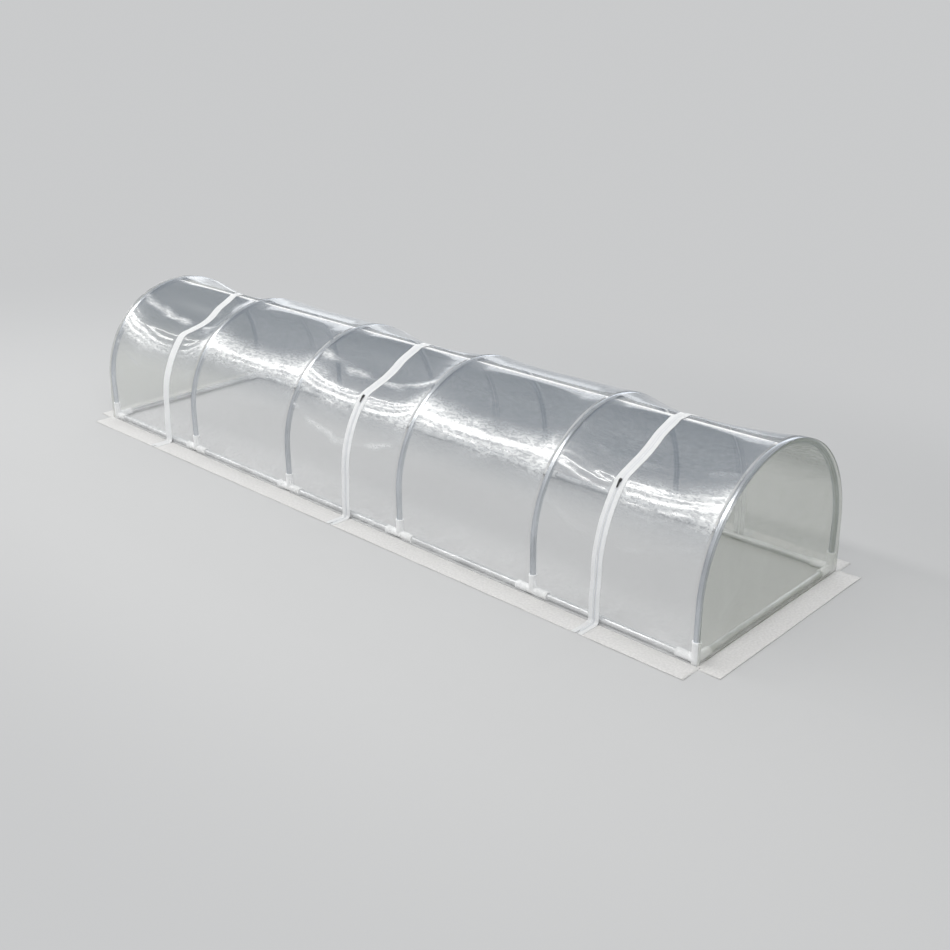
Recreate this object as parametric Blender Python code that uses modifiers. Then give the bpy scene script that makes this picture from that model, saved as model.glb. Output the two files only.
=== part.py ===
# Row cover tunnel: six tube hoops on a base frame of rails, a clear film cover with three
# zipped bands, and a flat skirt that lies on the ground all round
#
# Lengths are in metres. X runs along the tunnel, the front long side faces -Y, Z is up, and
# the origin is on the ground at the middle of the footprint.
import math

import bmesh
import bpy
from mathutils import Matrix, Vector

# Base frame and hoops
BAY_COUNT = 5
BAY_PITCH = 0.600
HOOP_SPACING = 0.762
LEG_HEIGHT = 0.165
TUBE_DIAMETER = 0.019
TUBE_BORE = 0.0168
TUBE_SIDES = 12
# Bevel resolutions of the swept tubes: 12, 6 and 8 sides
HOOP_RESOLUTION = 4
BORE_RESOLUTION = 1
WIRE_RESOLUTION = 2

# Clearance between pieces that seat on each other, and the overrun of every cutter
FIT_GAP = 0.0003
OVERRUN = 0.002
WELD_DISTANCE = 0.00001

# Connectors: tees under the inner hoops, three-way corners under the end hoops
SLEEVE_WALL = 0.0038
COLLAR_RISE = 0.0010
COLLAR_LENGTH = 0.006
SOCKET_TOP = 0.070
TEE_ARM = 0.063
CORNER_ARM = 0.063
STOP_WALL = 0.003

# Ridge rods, plugged into holes near the crown of each hoop
ROD_DIAMETER = 0.008
ROD_DROP = 0.004
ROD_END_SPACE = 0.002
ROD_SIDES = 8

# Film cover: an arch in four sections between the bands, and a flat panel at each end
FILM_THICKNESS = 0.0005
END_LAP = 0.001
ROD_CLEARANCE = 0.0012
PARK_ANGLE = math.radians(42)
LOW_STEPS = 5
HIGH_STEPS = 6
# Share of a bay's full sag at each station from the park angle up to the crown
SAG_SHARES = (0.0, 0.52, 0.94, 1.0, 0.72, 0.46, 0.0)
PLAIN_BAY_SAG = 0.022
# Half the width over which the film rests on a hoop
HOOP_REST = 0.005
# Where the film columns lie between two hoops, as shares of the pitch
COLUMN_SHARES = (0.14, 0.37, 0.63, 0.86)
# Least distance from the columns along a band's edges to the next column
COLUMN_SPACE = 0.030

# Zipped bands: bay index, distance from that bay's left hoop, the film's full sag there
BAND_BAYS = (0, 2, 4)
BAND_OFFSETS = (0.422, 0.338, 0.252)
BAND_SAGS = (0.050, 0.037, 0.033)
BAND_WIDTH = 0.040
TAPE_THICKNESS = 0.0008
BEAD_WIDTH = 0.0020
BEAD_HEIGHT = 0.0018
BEAD_GAP = 0.0008
FILM_SLIT = 0.0062

# Sliders and pulls: the first band's slider is parked on the back, the others on the front
SLIDER_SIDES = ("back", "front", "front")
SLIDER_LENGTH = 0.0125
SLIDER_WIDTH = 0.0100
SLIDER_NOSE_WIDTH = 0.0075
SLIDER_TOP = 0.0018
SLIDER_BEVEL = 0.0005
BAIL_WIRE = 0.0012
BAIL_SPAN = 0.0064
BAIL_HEIGHT = 0.0036
BAIL_STEPS = 6
PULL_THICKNESS = 0.0012
PULL_WIDTH = 0.0070
PULL_LENGTH = 0.0250
PULL_EYE_WIDTH = 0.0032
PULL_EYE_LENGTH = 0.0046
PULL_TIP_WIDTH = 0.0052
PULL_BAR_LIFT = 0.0016
PULL_LEAN = math.radians(6)
PULL_TIP_STEPS = 4

# Skirt: a border under the film's foot and four flaps that fold on its outer edges
SKIRT_THICKNESS = 0.0008
FOLD_OFFSET = 0.026
FLAP_WIDTH = 0.073
FOOT_THICKNESS = 0.0010
FOOT_START = 0.0015
FOOT_SINK = 0.0002
FOOT_PAD_INSET = 0.0018
SLIT_WIDTH = 0.0045
SLIT_LENGTH = 0.0210

# Sizes that follow from the ones above
TUBE_RADIUS = TUBE_DIAMETER / 2
BORE_RADIUS = TUBE_RADIUS + FIT_GAP
SLEEVE_RADIUS = BORE_RADIUS + SLEEVE_WALL
COLLAR_RADIUS = SLEEVE_RADIUS + COLLAR_RISE
AXIS_HEIGHT = COLLAR_RADIUS * math.cos(math.pi / TUBE_SIDES)
SOCKET_FLOOR = AXIS_HEIGHT + BORE_RADIUS + STOP_WALL
CORNER_STOP = BORE_RADIUS + STOP_WALL
HOOP_RADIUS = HOOP_SPACING / 2
HALF_LENGTH = BAY_COUNT * BAY_PITCH / 2
HOOP_X = [BAY_PITCH * index - HALF_LENGTH for index in range(BAY_COUNT + 1)]
BAND_X = [HOOP_X[bay] + offset for bay, offset in zip(BAND_BAYS, BAND_OFFSETS)]
CROWN_HEIGHT = LEG_HEIGHT + HOOP_RADIUS
ROD_HEIGHT = CROWN_HEIGHT - ROD_DROP
FILM_RADIUS = HOOP_RADIUS + TUBE_RADIUS + FIT_GAP
CROWN_SAG = LEG_HEIGHT + FILM_RADIUS - (ROD_HEIGHT + ROD_DIAMETER / 2 + ROD_CLEARANCE)
FILM_FOOT_Y = HOOP_RADIUS + COLLAR_RADIUS + FIT_GAP
FILM_FOOT_Z = SKIRT_THICKNESS + FIT_GAP
PANEL_X = HALF_LENGTH + COLLAR_RADIUS + FIT_GAP
COVER_END_X = PANEL_X + FILM_THICKNESS + END_LAP
FOLD_X = HALF_LENGTH + FOLD_OFFSET
FOLD_Y = HOOP_RADIUS + FOLD_OFFSET
BORDER_INNER_X = HALF_LENGTH + SLEEVE_RADIUS + FIT_GAP
BORDER_INNER_Y = HOOP_RADIUS + SLEEVE_RADIUS + FIT_GAP
TAPE_BASE = FILM_THICKNESS + FIT_GAP
TAPE_FACE = FILM_RADIUS + TAPE_BASE + TAPE_THICKNESS
BEAD_FACE = FILM_RADIUS + TAPE_BASE + BEAD_HEIGHT
SLIDER_DECK = BEAD_FACE + FIT_GAP + SLIDER_TOP
PULL_AXIS_RADIUS = SLIDER_DECK + PULL_BAR_LIFT

# Stations of the arch: angles from the front spring line, over the crown, to the back one
LOW_ANGLES = [PARK_ANGLE * step / LOW_STEPS for step in range(LOW_STEPS)]
HIGH_STEP = (math.pi / 2 - PARK_ANGLE) / HIGH_STEPS
HIGH_ANGLES = [PARK_ANGLE + HIGH_STEP * step for step in range(HIGH_STEPS)]
FRONT_ANGLES = LOW_ANGLES + HIGH_ANGLES
ARCH_ANGLES = FRONT_ANGLES + [math.pi / 2] + [math.pi - angle for angle in reversed(FRONT_ANGLES)]


def new_collection(name):
    collection = bpy.data.collections.new(name)
    bpy.context.scene.collection.children.link(collection)
    return collection


def clear_scene():
    for item in list(bpy.data.objects):
        bpy.data.objects.remove(item, do_unlink=True)


clear_scene()
PARTS = new_collection("row_cover_tunnel")
CUTTERS = new_collection("cutters")


def make_material(name, colour, roughness, metallic=0.0, alpha=1.0):
    material = bpy.data.materials.new(name)
    material.use_nodes = True
    shader = material.node_tree.nodes["Principled BSDF"]
    shader.inputs["Base Color"].default_value = (*colour, 1.0)
    shader.inputs["Roughness"].default_value = roughness
    shader.inputs["Metallic"].default_value = metallic
    shader.inputs["Alpha"].default_value = alpha
    return material


METAL = make_material("satin_aluminium_tube", (0.62, 0.64, 0.66), 0.32, metallic=1.0)
SOCKET_PLASTIC = make_material("white_connector_plastic", (0.82, 0.83, 0.84), 0.45)
ROD_PLASTIC = make_material("white_rod", (0.85, 0.86, 0.87), 0.40)
FILM = make_material("clear_film", (0.80, 0.84, 0.84), 0.12, alpha=0.25)
SKIRT_SHEET = make_material("pale_skirt_sheet", (0.68, 0.68, 0.68), 0.60)
TAPE = make_material("white_zip_tape", (0.82, 0.83, 0.84), 0.65)
SLIDER_BLACK = make_material("black_slider", (0.02, 0.02, 0.022), 0.35)


def add_object(name, data, collection=PARTS):
    item = bpy.data.objects.new(name, data)
    collection.objects.link(item)
    return item


def discard(item):
    bpy.data.objects.remove(item, do_unlink=True)


def draft(data):
    """A helper object that is used to shape a part and then removed."""
    item = add_object("draft", data, CUTTERS)
    item.hide_render = True
    item.display_type = "WIRE"
    return item


def mesh_of(item, name):
    """The evaluated shape of a draft as a welded mesh in world space. The draft is removed."""
    bpy.context.view_layer.update()
    graph = bpy.context.evaluated_depsgraph_get()
    mesh = bpy.data.meshes.new_from_object(item.evaluated_get(graph), depsgraph=graph)
    mesh.transform(item.matrix_world)
    mesh.name = name
    shape = bmesh.new()
    shape.from_mesh(mesh)
    bmesh.ops.remove_doubles(shape, verts=shape.verts, dist=WELD_DISTANCE)
    shape.to_mesh(mesh)
    shape.free()
    discard(item)
    return mesh


def combined(base, tools, operation, name):
    """Union or difference of a draft with other drafts, as a mesh."""
    for tool in tools:
        step = base.modifiers.new(operation.title(), "BOOLEAN")
        step.operation = operation
        step.object = tool
    mesh = mesh_of(base, name)
    for tool in tools:
        discard(tool)
    return mesh


def add_part(name, mesh, material, place=None, smooth_angle=math.radians(40)):
    """A finished part. Its mesh may be shared by several parts."""
    item = add_object(name, mesh)
    if place is not None:
        item.matrix_world = place
    if not mesh.materials:
        mesh.materials.append(material)
        mesh.shade_smooth()
        mesh.set_sharp_from_angle(angle=smooth_angle)
    return item


def lying(axis):
    """Turn a shape made along Z so that it lies along the named axis, a flat facet down."""
    twist = Matrix.Rotation(math.pi / TUBE_SIDES, 4, "Z")
    if axis == "X":
        return Matrix.Rotation(math.pi / 2, 4, "Y") @ twist
    if axis == "Y":
        return Matrix.Rotation(-math.pi / 2, 4, "X") @ twist
    # A standing sleeve keeps a corner to the front, so its flats meet none of the others
    return Matrix.Identity(4)


def turned(profile, closed=False, sides=TUBE_SIDES):
    """A draft turned about Z. The profile lists radius and height, down its outer side."""
    mesh = bpy.data.meshes.new("turned")
    points = [(radius, 0.0, height) for radius, height in profile]
    count = len(points)
    edges = [(index, index + 1) for index in range(count - 1)]
    if closed:
        edges.append((count - 1, 0))
    mesh.from_pydata(points, edges, [])
    item = draft(mesh)
    screw = item.modifiers.new("Screw", "SCREW")
    screw.steps = sides
    screw.render_steps = sides
    screw.use_merge_vertices = True
    screw.merge_threshold = WELD_DISTANCE
    return item


def bore_cutter(radius, start, end, axis, sides=TUBE_SIDES):
    """A round cutter whose flats clear a pin of the given radius."""
    mesh = bpy.data.meshes.new("bore")
    shape = bmesh.new()
    corner_radius = radius / math.cos(math.pi / sides)
    middle = Matrix.Translation((0.0, 0.0, (start + end) / 2))
    bmesh.ops.create_cone(
        shape, cap_ends=True, segments=sides, radius1=corner_radius, radius2=corner_radius,
        depth=end - start, matrix=lying(axis) @ middle,
    )
    shape.to_mesh(mesh)
    shape.free()
    return draft(mesh)


def block(low, high):
    """A draft box between two corners."""
    mesh = bpy.data.meshes.new("block")
    shape = bmesh.new()
    size = [top - bottom for bottom, top in zip(low, high)]
    middle = [(top + bottom) / 2 for bottom, top in zip(low, high)]
    place = Matrix.Translation(middle) @ Matrix.Diagonal((*size, 1.0))
    bmesh.ops.create_cube(shape, size=1.0, matrix=place)
    shape.to_mesh(mesh)
    shape.free()
    return draft(mesh)


def swept_tube(points, radius, bevel_resolution):
    """A draft tube along a line of points, with filled ends."""
    curve = bpy.data.curves.new("swept", "CURVE")
    curve.dimensions = "3D"
    curve.bevel_depth = radius
    curve.bevel_resolution = bevel_resolution
    curve.render_resolution_u = 0
    curve.use_fill_caps = True
    spline = curve.splines.new("POLY")
    spline.points.add(len(points) - 1)
    for target, point in zip(spline.points, points):
        target.co = (*point, 1.0)
    return draft(curve)


def flat_plate(outlines, thickness):
    """A draft plate in the XY plane. Outlines after the first are holes."""
    curve = bpy.data.curves.new("plate", "CURVE")
    curve.dimensions = "2D"
    curve.fill_mode = "BOTH"
    curve.extrude = thickness / 2
    curve.render_resolution_u = 0
    for outline in outlines:
        spline = curve.splines.new("POLY")
        spline.points.add(len(outline) - 1)
        for target, point in zip(spline.points, outline):
            target.co = (*point, 0.0, 1.0)
        spline.use_cyclic_u = True
    return draft(curve)


def solid_mesh(item, name):
    """A draft curve as a welded mesh draft that can be cut."""
    return draft(mesh_of(item, name))


# Hoops

def arch_line(radius, foot_height):
    """Points of a semicircle on straight legs, in the plane X = 0."""
    foot = [Vector((0.0, -radius, foot_height))]
    arch = [
        Vector((0.0, -radius * math.cos(angle), LEG_HEIGHT + radius * math.sin(angle)))
        for angle in ARCH_ANGLES
    ]
    return foot + arch + [Vector((0.0, radius, foot_height))]


def hoop_mesh(name, rod_start, rod_end):
    """One hollow hoop. The rod hole runs along X from rod_start to rod_end."""
    leg_end = SOCKET_FLOOR + FIT_GAP
    tube = solid_mesh(swept_tube(arch_line(HOOP_RADIUS, leg_end), TUBE_RADIUS, HOOP_RESOLUTION), "tube")
    bore_line = arch_line(HOOP_RADIUS, leg_end - OVERRUN)
    bore = solid_mesh(swept_tube(bore_line, TUBE_BORE / 2, BORE_RESOLUTION), "bore")
    hole = bore_cutter(ROD_DIAMETER / 2 + FIT_GAP, rod_start, rod_end, "X", ROD_SIDES)
    hole.location.z = ROD_HEIGHT
    return combined(tube, [bore, hole], "DIFFERENCE", name)


def make_hoops():
    reach = TUBE_RADIUS + OVERRUN
    inner = hoop_mesh("inner_hoop", -reach, reach)
    end = hoop_mesh("end_hoop", 0.0, reach)
    for index, x in enumerate(HOOP_X):
        place = Matrix.Translation((x, 0.0, 0.0))
        if index == BAY_COUNT:
            place = place @ Matrix.Rotation(math.pi, 4, "Z")
        mesh = end if index in (0, BAY_COUNT) else inner
        add_part(f"hoop_{index + 1}", mesh, METAL, place)


# Rails of the base frame

def rail_mesh(name, length):
    outer = TUBE_RADIUS
    inner = TUBE_BORE / 2
    half = length / 2
    ring = [(outer, half), (outer, -half), (inner, -half), (inner, half)]
    return mesh_of(turned(ring, closed=True), name)


def make_rail(name, start, end, axis, cross):
    mesh = rail_mesh(name, end - start)
    middle = (start + end) / 2
    if axis == "X":
        place = Matrix.Translation((middle, cross, AXIS_HEIGHT))
    else:
        place = Matrix.Translation((cross, middle, AXIS_HEIGHT))
    add_part(name, mesh, METAL, place @ lying(axis))


def make_rails():
    tee_seat = STOP_WALL / 2 + FIT_GAP
    corner_seat = CORNER_STOP + FIT_GAP
    for side, y in (("front", -HOOP_RADIUS), ("back", HOOP_RADIUS)):
        for bay in range(BAY_COUNT):
            start = HOOP_X[bay] + (corner_seat if bay == 0 else tee_seat)
            end = HOOP_X[bay + 1] - (corner_seat if bay == BAY_COUNT - 1 else tee_seat)
            make_rail(f"{side}_rail_{bay + 1}", start, end, "X", y)
    reach = HOOP_RADIUS - corner_seat
    make_rail("left_end_rail", -reach, reach, "Y", -HALF_LENGTH)
    make_rail("right_end_rail", -reach, reach, "Y", HALF_LENGTH)


# Connectors, each made round the point where its axes meet

def sleeve(length, foot, foot_collar):
    """A draft sleeve along Z from foot to length, with a collar at its mouths."""
    profile = [
        (0.0, length),
        (COLLAR_RADIUS, length),
        (COLLAR_RADIUS, length - COLLAR_LENGTH),
        (SLEEVE_RADIUS, length - COLLAR_LENGTH),
    ]
    if foot_collar:
        profile.append((SLEEVE_RADIUS, foot + COLLAR_LENGTH))
        profile.append((COLLAR_RADIUS, foot + COLLAR_LENGTH))
        profile.append((COLLAR_RADIUS, foot))
    else:
        profile.append((SLEEVE_RADIUS, foot))
    profile.append((0.0, foot))
    return turned(profile)


def tee_mesh():
    socket_height = SOCKET_TOP - AXIS_HEIGHT
    along = sleeve(TEE_ARM, -TEE_ARM, True)
    along.matrix_world = lying("X")
    socket = sleeve(socket_height, 0.0, False)
    socket.matrix_world = lying("Z")
    body = draft(combined(along, [socket], "UNION", "tee_body"))
    floor = SOCKET_FLOOR - AXIS_HEIGHT
    bores = [
        bore_cutter(BORE_RADIUS, STOP_WALL / 2, TEE_ARM + OVERRUN, "X"),
        bore_cutter(BORE_RADIUS, -TEE_ARM - OVERRUN, -STOP_WALL / 2, "X"),
        bore_cutter(BORE_RADIUS, floor, socket_height + OVERRUN, "Z"),
    ]
    return combined(body, bores, "DIFFERENCE", "tee")


def corner_mesh():
    """A three-way corner: arms along +X and +Y, and a post that stands on the ground."""
    socket_height = SOCKET_TOP - AXIS_HEIGHT
    arm_x = sleeve(CORNER_ARM, 0.0, False)
    arm_x.matrix_world = lying("X")
    arm_y = sleeve(CORNER_ARM, 0.0, False)
    arm_y.matrix_world = lying("Y")
    post = sleeve(socket_height, -AXIS_HEIGHT, False)
    post.matrix_world = lying("Z")
    body = draft(combined(post, [arm_x, arm_y], "UNION", "corner_body"))
    floor = SOCKET_FLOOR - AXIS_HEIGHT
    bores = [
        bore_cutter(BORE_RADIUS, CORNER_STOP, CORNER_ARM + OVERRUN, "X"),
        bore_cutter(BORE_RADIUS, CORNER_STOP, CORNER_ARM + OVERRUN, "Y"),
        bore_cutter(BORE_RADIUS, floor, socket_height + OVERRUN, "Z"),
    ]
    return combined(body, bores, "DIFFERENCE", "corner")


def make_connectors():
    tee = tee_mesh()
    corner = corner_mesh()
    for side, y in (("front", -HOOP_RADIUS), ("back", HOOP_RADIUS)):
        for index in range(1, BAY_COUNT):
            place = Matrix.Translation((HOOP_X[index], y, AXIS_HEIGHT))
            add_part(f"{side}_tee_{index + 1}", tee, SOCKET_PLASTIC, place)
    corners = (
        ("front_left_corner", -1, -1, 0),
        ("front_right_corner", 1, -1, 1),
        ("back_right_corner", 1, 1, 2),
        ("back_left_corner", -1, 1, 3),
    )
    for name, side_x, side_y, quarter_turns in corners:
        place = Matrix.Translation((side_x * HALF_LENGTH, side_y * HOOP_RADIUS, AXIS_HEIGHT))
        turn = Matrix.Rotation(quarter_turns * math.pi / 2, 4, "Z")
        add_part(name, corner, SOCKET_PLASTIC, place @ turn)


# Ridge rods

def make_ridge_rods():
    length = BAY_PITCH - 2 * ROD_END_SPACE
    radius = ROD_DIAMETER / 2
    half = length / 2
    profile = [(0.0, half), (radius, half), (radius, -half), (0.0, -half)]
    mesh = mesh_of(turned(profile, sides=ROD_SIDES), "rod")
    for bay in range(BAY_COUNT):
        middle = (HOOP_X[bay] + HOOP_X[bay + 1]) / 2
        place = Matrix.Translation((middle, 0.0, ROD_HEIGHT))
        add_part(f"ridge_rod_{bay + 1}", mesh, ROD_PLASTIC, place @ lying("X"))


# Film cover

def sag_profile(station):
    """How deep the film hangs at a station: its share of the bay's sag, and of the crown's."""
    from_end = min(station, len(ARCH_ANGLES) - 1 - station)
    high_station = from_end - LOW_STEPS
    if high_station <= 0:
        return 0.0, 0.0
    return SAG_SHARES[high_station], high_station / HIGH_STEPS


def sag_at(x, station):
    """Inward sag of the film between hoops: even under a band, or over that width at mid bay."""
    if x <= HOOP_X[0] or x >= HOOP_X[-1]:
        return 0.0
    bay = min(int((x - HOOP_X[0]) / BAY_PITCH), BAY_COUNT - 1)
    lowest = HOOP_X[bay] + BAY_PITCH / 2
    depth = PLAIN_BAY_SAG
    if bay in BAND_BAYS:
        band = BAND_BAYS.index(bay)
        lowest = BAND_X[band]
        depth = BAND_SAGS[band]
    even = BAND_WIDTH / 2 + FIT_GAP
    if x < lowest:
        reach = lowest - even - HOOP_X[bay] - HOOP_REST
    else:
        reach = HOOP_X[bay + 1] - HOOP_REST - lowest - even
    outside = max(0.0, abs(x - lowest) - even)
    fall = max(0.0, 1.0 - (outside / reach) ** 2)
    side_share, crown_share = sag_profile(station)
    crown = CROWN_SAG * crown_share * min(1.0, 2 * fall)
    return max(depth * side_share * fall, crown)


def cover_lines():
    """Rows across the cover: the foot, the socket height, the arch, and down the back."""
    rows = [("foot", -1), ("socket", -1)]
    rows += [("arch", station) for station in range(len(ARCH_ANGLES))]
    return rows + [("socket", 1), ("foot", 1)]


def outward_at(row):
    """The direction out of the cover in one of its rows."""
    kind, value = row
    if kind == "arch":
        angle = ARCH_ANGLES[value]
        return Vector((0.0, -math.cos(angle), math.sin(angle)))
    return Vector((0.0, value, 0.0))


def cover_point(x, row, offset=0.0, foot_height=FILM_FOOT_Z):
    """A point of the cover's inner face, moved outward by offset."""
    kind, value = row
    if kind == "arch":
        radius = FILM_RADIUS + offset - sag_at(x, value)
        return Vector((x, 0.0, LEG_HEIGHT)) + outward_at(row) * radius
    height = foot_height if kind == "foot" else SOCKET_TOP
    return Vector((x, 0.0, height)) + outward_at(row) * (FILM_FOOT_Y + offset)


def film_columns(start, end):
    """Where the film's columns lie between two ends: at hoops, between them and by the bands."""
    edge = BAND_WIDTH / 2 + FIT_GAP
    columns = set()
    for left in HOOP_X[:-1]:
        columns.update(left + share * BAY_PITCH for share in COLUMN_SHARES)
        columns.update((left + HOOP_REST, left + BAY_PITCH - HOOP_REST))
    for x in BAND_X:
        columns.update((x - edge, x + edge))
    kept = [start]
    for x in sorted(columns):
        # A column too close beside a band's own columns is left out
        by_band = any(FIT_GAP < abs(x - band) - edge < COLUMN_SPACE for band in BAND_X)
        if start < x < end and not by_band:
            kept.append(x)
    return kept + [end]


def cover_section(name, start, end):
    """One section of the film: a grid laid over the arch, with Solidify for its thickness."""
    columns = film_columns(start, end)
    rows = cover_lines()
    mesh = bpy.data.meshes.new(name)
    shape = bmesh.new()
    grid = bmesh.ops.create_grid(
        shape, x_segments=len(columns) - 1, y_segments=len(rows) - 1, size=1.0,
    )
    for vertex in grid["verts"]:
        column = round((vertex.co.x + 1.0) / 2.0 * (len(columns) - 1))
        row = round((vertex.co.y + 1.0) / 2.0 * (len(rows) - 1))
        vertex.co = cover_point(columns[column], rows[row])
    shape.to_mesh(mesh)
    shape.free()
    item = draft(mesh)
    shell = item.modifiers.new("Solidify", "SOLIDIFY")
    shell.thickness = FILM_THICKNESS
    shell.offset = 1.0
    add_part(name, mesh_of(item, name), FILM)


def make_cover():
    edges = [-COVER_END_X]
    for x in BAND_X:
        edges += [x - FILM_SLIT / 2, x + FILM_SLIT / 2]
    edges.append(COVER_END_X)
    for index in range(len(edges) // 2):
        cover_section(f"cover_section_{index + 1}", edges[2 * index], edges[2 * index + 1])


def panel_mesh():
    """A flat end panel inside the cover's edge, made in the XY plane and stood up."""
    outline = []
    for row in cover_lines():
        point = cover_point(HALF_LENGTH, row, offset=-FIT_GAP)
        outline.append((point.y, point.z))
    plate = flat_plate([outline], FILM_THICKNESS)
    stand = Matrix.Rotation(math.pi / 2, 4, "Z") @ Matrix.Rotation(math.pi / 2, 4, "X")
    plate.matrix_world = stand
    return mesh_of(plate, "end_panel")


def make_end_panels():
    mesh = panel_mesh()
    middle = PANEL_X + FILM_THICKNESS / 2
    add_part("left_end_panel", mesh, FILM, Matrix.Translation((-middle, 0.0, 0.0)))
    add_part("right_end_panel", mesh, FILM, Matrix.Translation((middle, 0.0, 0.0)))


# Zip tapes

def loft(name, rings):
    """A solid through rings of points, closed at both ends."""
    mesh = bpy.data.meshes.new(name)
    shape = bmesh.new()
    layers = [[shape.verts.new(point) for point in ring] for ring in rings]
    size = len(rings[0])
    for lower, upper in zip(layers, layers[1:]):
        for index in range(size):
            after = (index + 1) % size
            shape.faces.new((lower[index], lower[after], upper[after], upper[index]))
    shape.faces.new(list(reversed(layers[0])))
    shape.faces.new(layers[-1])
    bmesh.ops.recalc_face_normals(shape, faces=shape.faces)
    shape.to_mesh(mesh)
    shape.free()
    return mesh


def tape_section(side):
    """Across one tape: distance from the band's middle and height over the tape's base."""
    edge = BAND_WIDTH / 2
    bead_outer = BEAD_GAP / 2 + BEAD_WIDTH
    bead_inner = BEAD_GAP / 2
    points = [
        (edge, 0.0),
        (edge, TAPE_THICKNESS),
        (bead_outer + (BEAD_HEIGHT - TAPE_THICKNESS) / 2, TAPE_THICKNESS),
        (bead_outer, BEAD_HEIGHT),
        (bead_inner, BEAD_HEIGHT),
        (bead_inner, 0.0),
    ]
    return [(side * distance, height) for distance, height in points]


def make_tapes():
    tape_foot = FILM_FOOT_Z + FOOT_THICKNESS + FIT_GAP
    for band, x in enumerate(BAND_X):
        for word, side in (("left", -1), ("right", 1)):
            rings = []
            for row in cover_lines():
                # The sag is read at the band's middle, so that the tape lies flat across
                middle = cover_point(x, row, TAPE_BASE, tape_foot)
                rings.append([
                    middle + Vector((distance, 0.0, 0.0)) + outward_at(row) * height
                    for distance, height in tape_section(side)
                ])
            name = f"zip_{band + 1}_{word}_tape"
            add_part(name, loft(name, rings), TAPE)


# Sliders and pulls, made on the arch axis with local Z outward and local -Y down the slope

def slider_mesh():
    half_width = SLIDER_WIDTH / 2
    half_nose = SLIDER_NOSE_WIDTH / 2
    half_length = SLIDER_LENGTH / 2
    outline = [
        (-half_nose, -half_length),
        (half_nose, -half_length),
        (half_width, half_length / 2),
        (half_nose, half_length),
        (-half_nose, half_length),
        (-half_width, half_length / 2),
    ]
    bottom = TAPE_FACE + FIT_GAP
    plate = flat_plate([outline], SLIDER_DECK - bottom)
    plate.location.z = (SLIDER_DECK + bottom) / 2
    body = solid_mesh(plate, "slider_plate")
    bevel = body.modifiers.new("Bevel", "BEVEL")
    bevel.width = SLIDER_BEVEL
    bevel.segments = 1
    bevel.limit_method = "ANGLE"
    body = solid_mesh(body, "slider_body")
    channel = BEAD_GAP / 2 + BEAD_WIDTH + (BEAD_HEIGHT - TAPE_THICKNESS) / 2 + FIT_GAP
    groove = block(
        (-channel, -half_length - OVERRUN, bottom - OVERRUN),
        (channel, half_length + OVERRUN, BEAD_FACE + FIT_GAP),
    )
    body = draft(combined(body, [groove], "DIFFERENCE", "slider_shell"))
    rise = BAIL_HEIGHT + FOOT_SINK
    line = []
    for step in range(BAIL_STEPS + 1):
        angle = math.pi * step / BAIL_STEPS
        y = -BAIL_SPAN / 2 * math.cos(angle)
        lift = rise * math.sqrt(abs(math.sin(angle)))
        line.append((0.0, y, SLIDER_DECK - BAIL_WIRE / 2 + lift))
    bail = solid_mesh(swept_tube(line, BAIL_WIRE / 2, WIRE_RESOLUTION), "bail")
    return combined(body, [bail], "UNION", "slider")


def pull_mesh():
    """A flat tab with an eye round its cross bar, made about the bar and hanging down -Y."""
    half_width = PULL_WIDTH / 2
    half_tip = PULL_TIP_WIDTH / 2
    bar = PULL_THICKNESS / 2
    tip_start = PULL_LENGTH - half_tip
    outline = [(half_width, bar), (-half_width, bar), (-half_width, -PULL_EYE_LENGTH - 2 * bar)]
    for step in range(PULL_TIP_STEPS + 1):
        angle = math.pi * step / PULL_TIP_STEPS
        outline.append((-half_tip * math.cos(angle), -tip_start - half_tip * math.sin(angle)))
    outline.append((half_width, -PULL_EYE_LENGTH - 2 * bar))
    half_eye = PULL_EYE_WIDTH / 2
    eye = [
        (half_eye, -bar),
        (half_eye, -bar - PULL_EYE_LENGTH),
        (-half_eye, -bar - PULL_EYE_LENGTH),
        (-half_eye, -bar),
    ]
    return mesh_of(flat_plate([outline, eye], PULL_THICKNESS), "pull")


def make_sliders():
    slider = slider_mesh()
    pull = pull_mesh()
    for index, (x, side) in enumerate(zip(BAND_X, SLIDER_SIDES)):
        axis = bpy.data.objects.new(f"zip_axis_{index + 1}", None)
        PARTS.objects.link(axis)
        axis.location = (x, 0.0, LEG_HEIGHT)
        lean = math.pi / 2 - PARK_ANGLE
        if side == "back":
            axis.rotation_euler = (lean, 0.0, math.pi)
        else:
            axis.rotation_euler = (lean, 0.0, 0.0)
        body = add_part(f"zip_slider_{index + 1}", slider, SLIDER_BLACK)
        body.parent = axis
        tab = add_part(f"zip_pull_{index + 1}", pull, SLIDER_BLACK)
        tab.parent = axis
        tab.location = (0.0, 0.0, PULL_AXIS_RADIUS)
        tab.rotation_euler = (PULL_LEAN, 0.0, 0.0)


# Skirt

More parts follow.
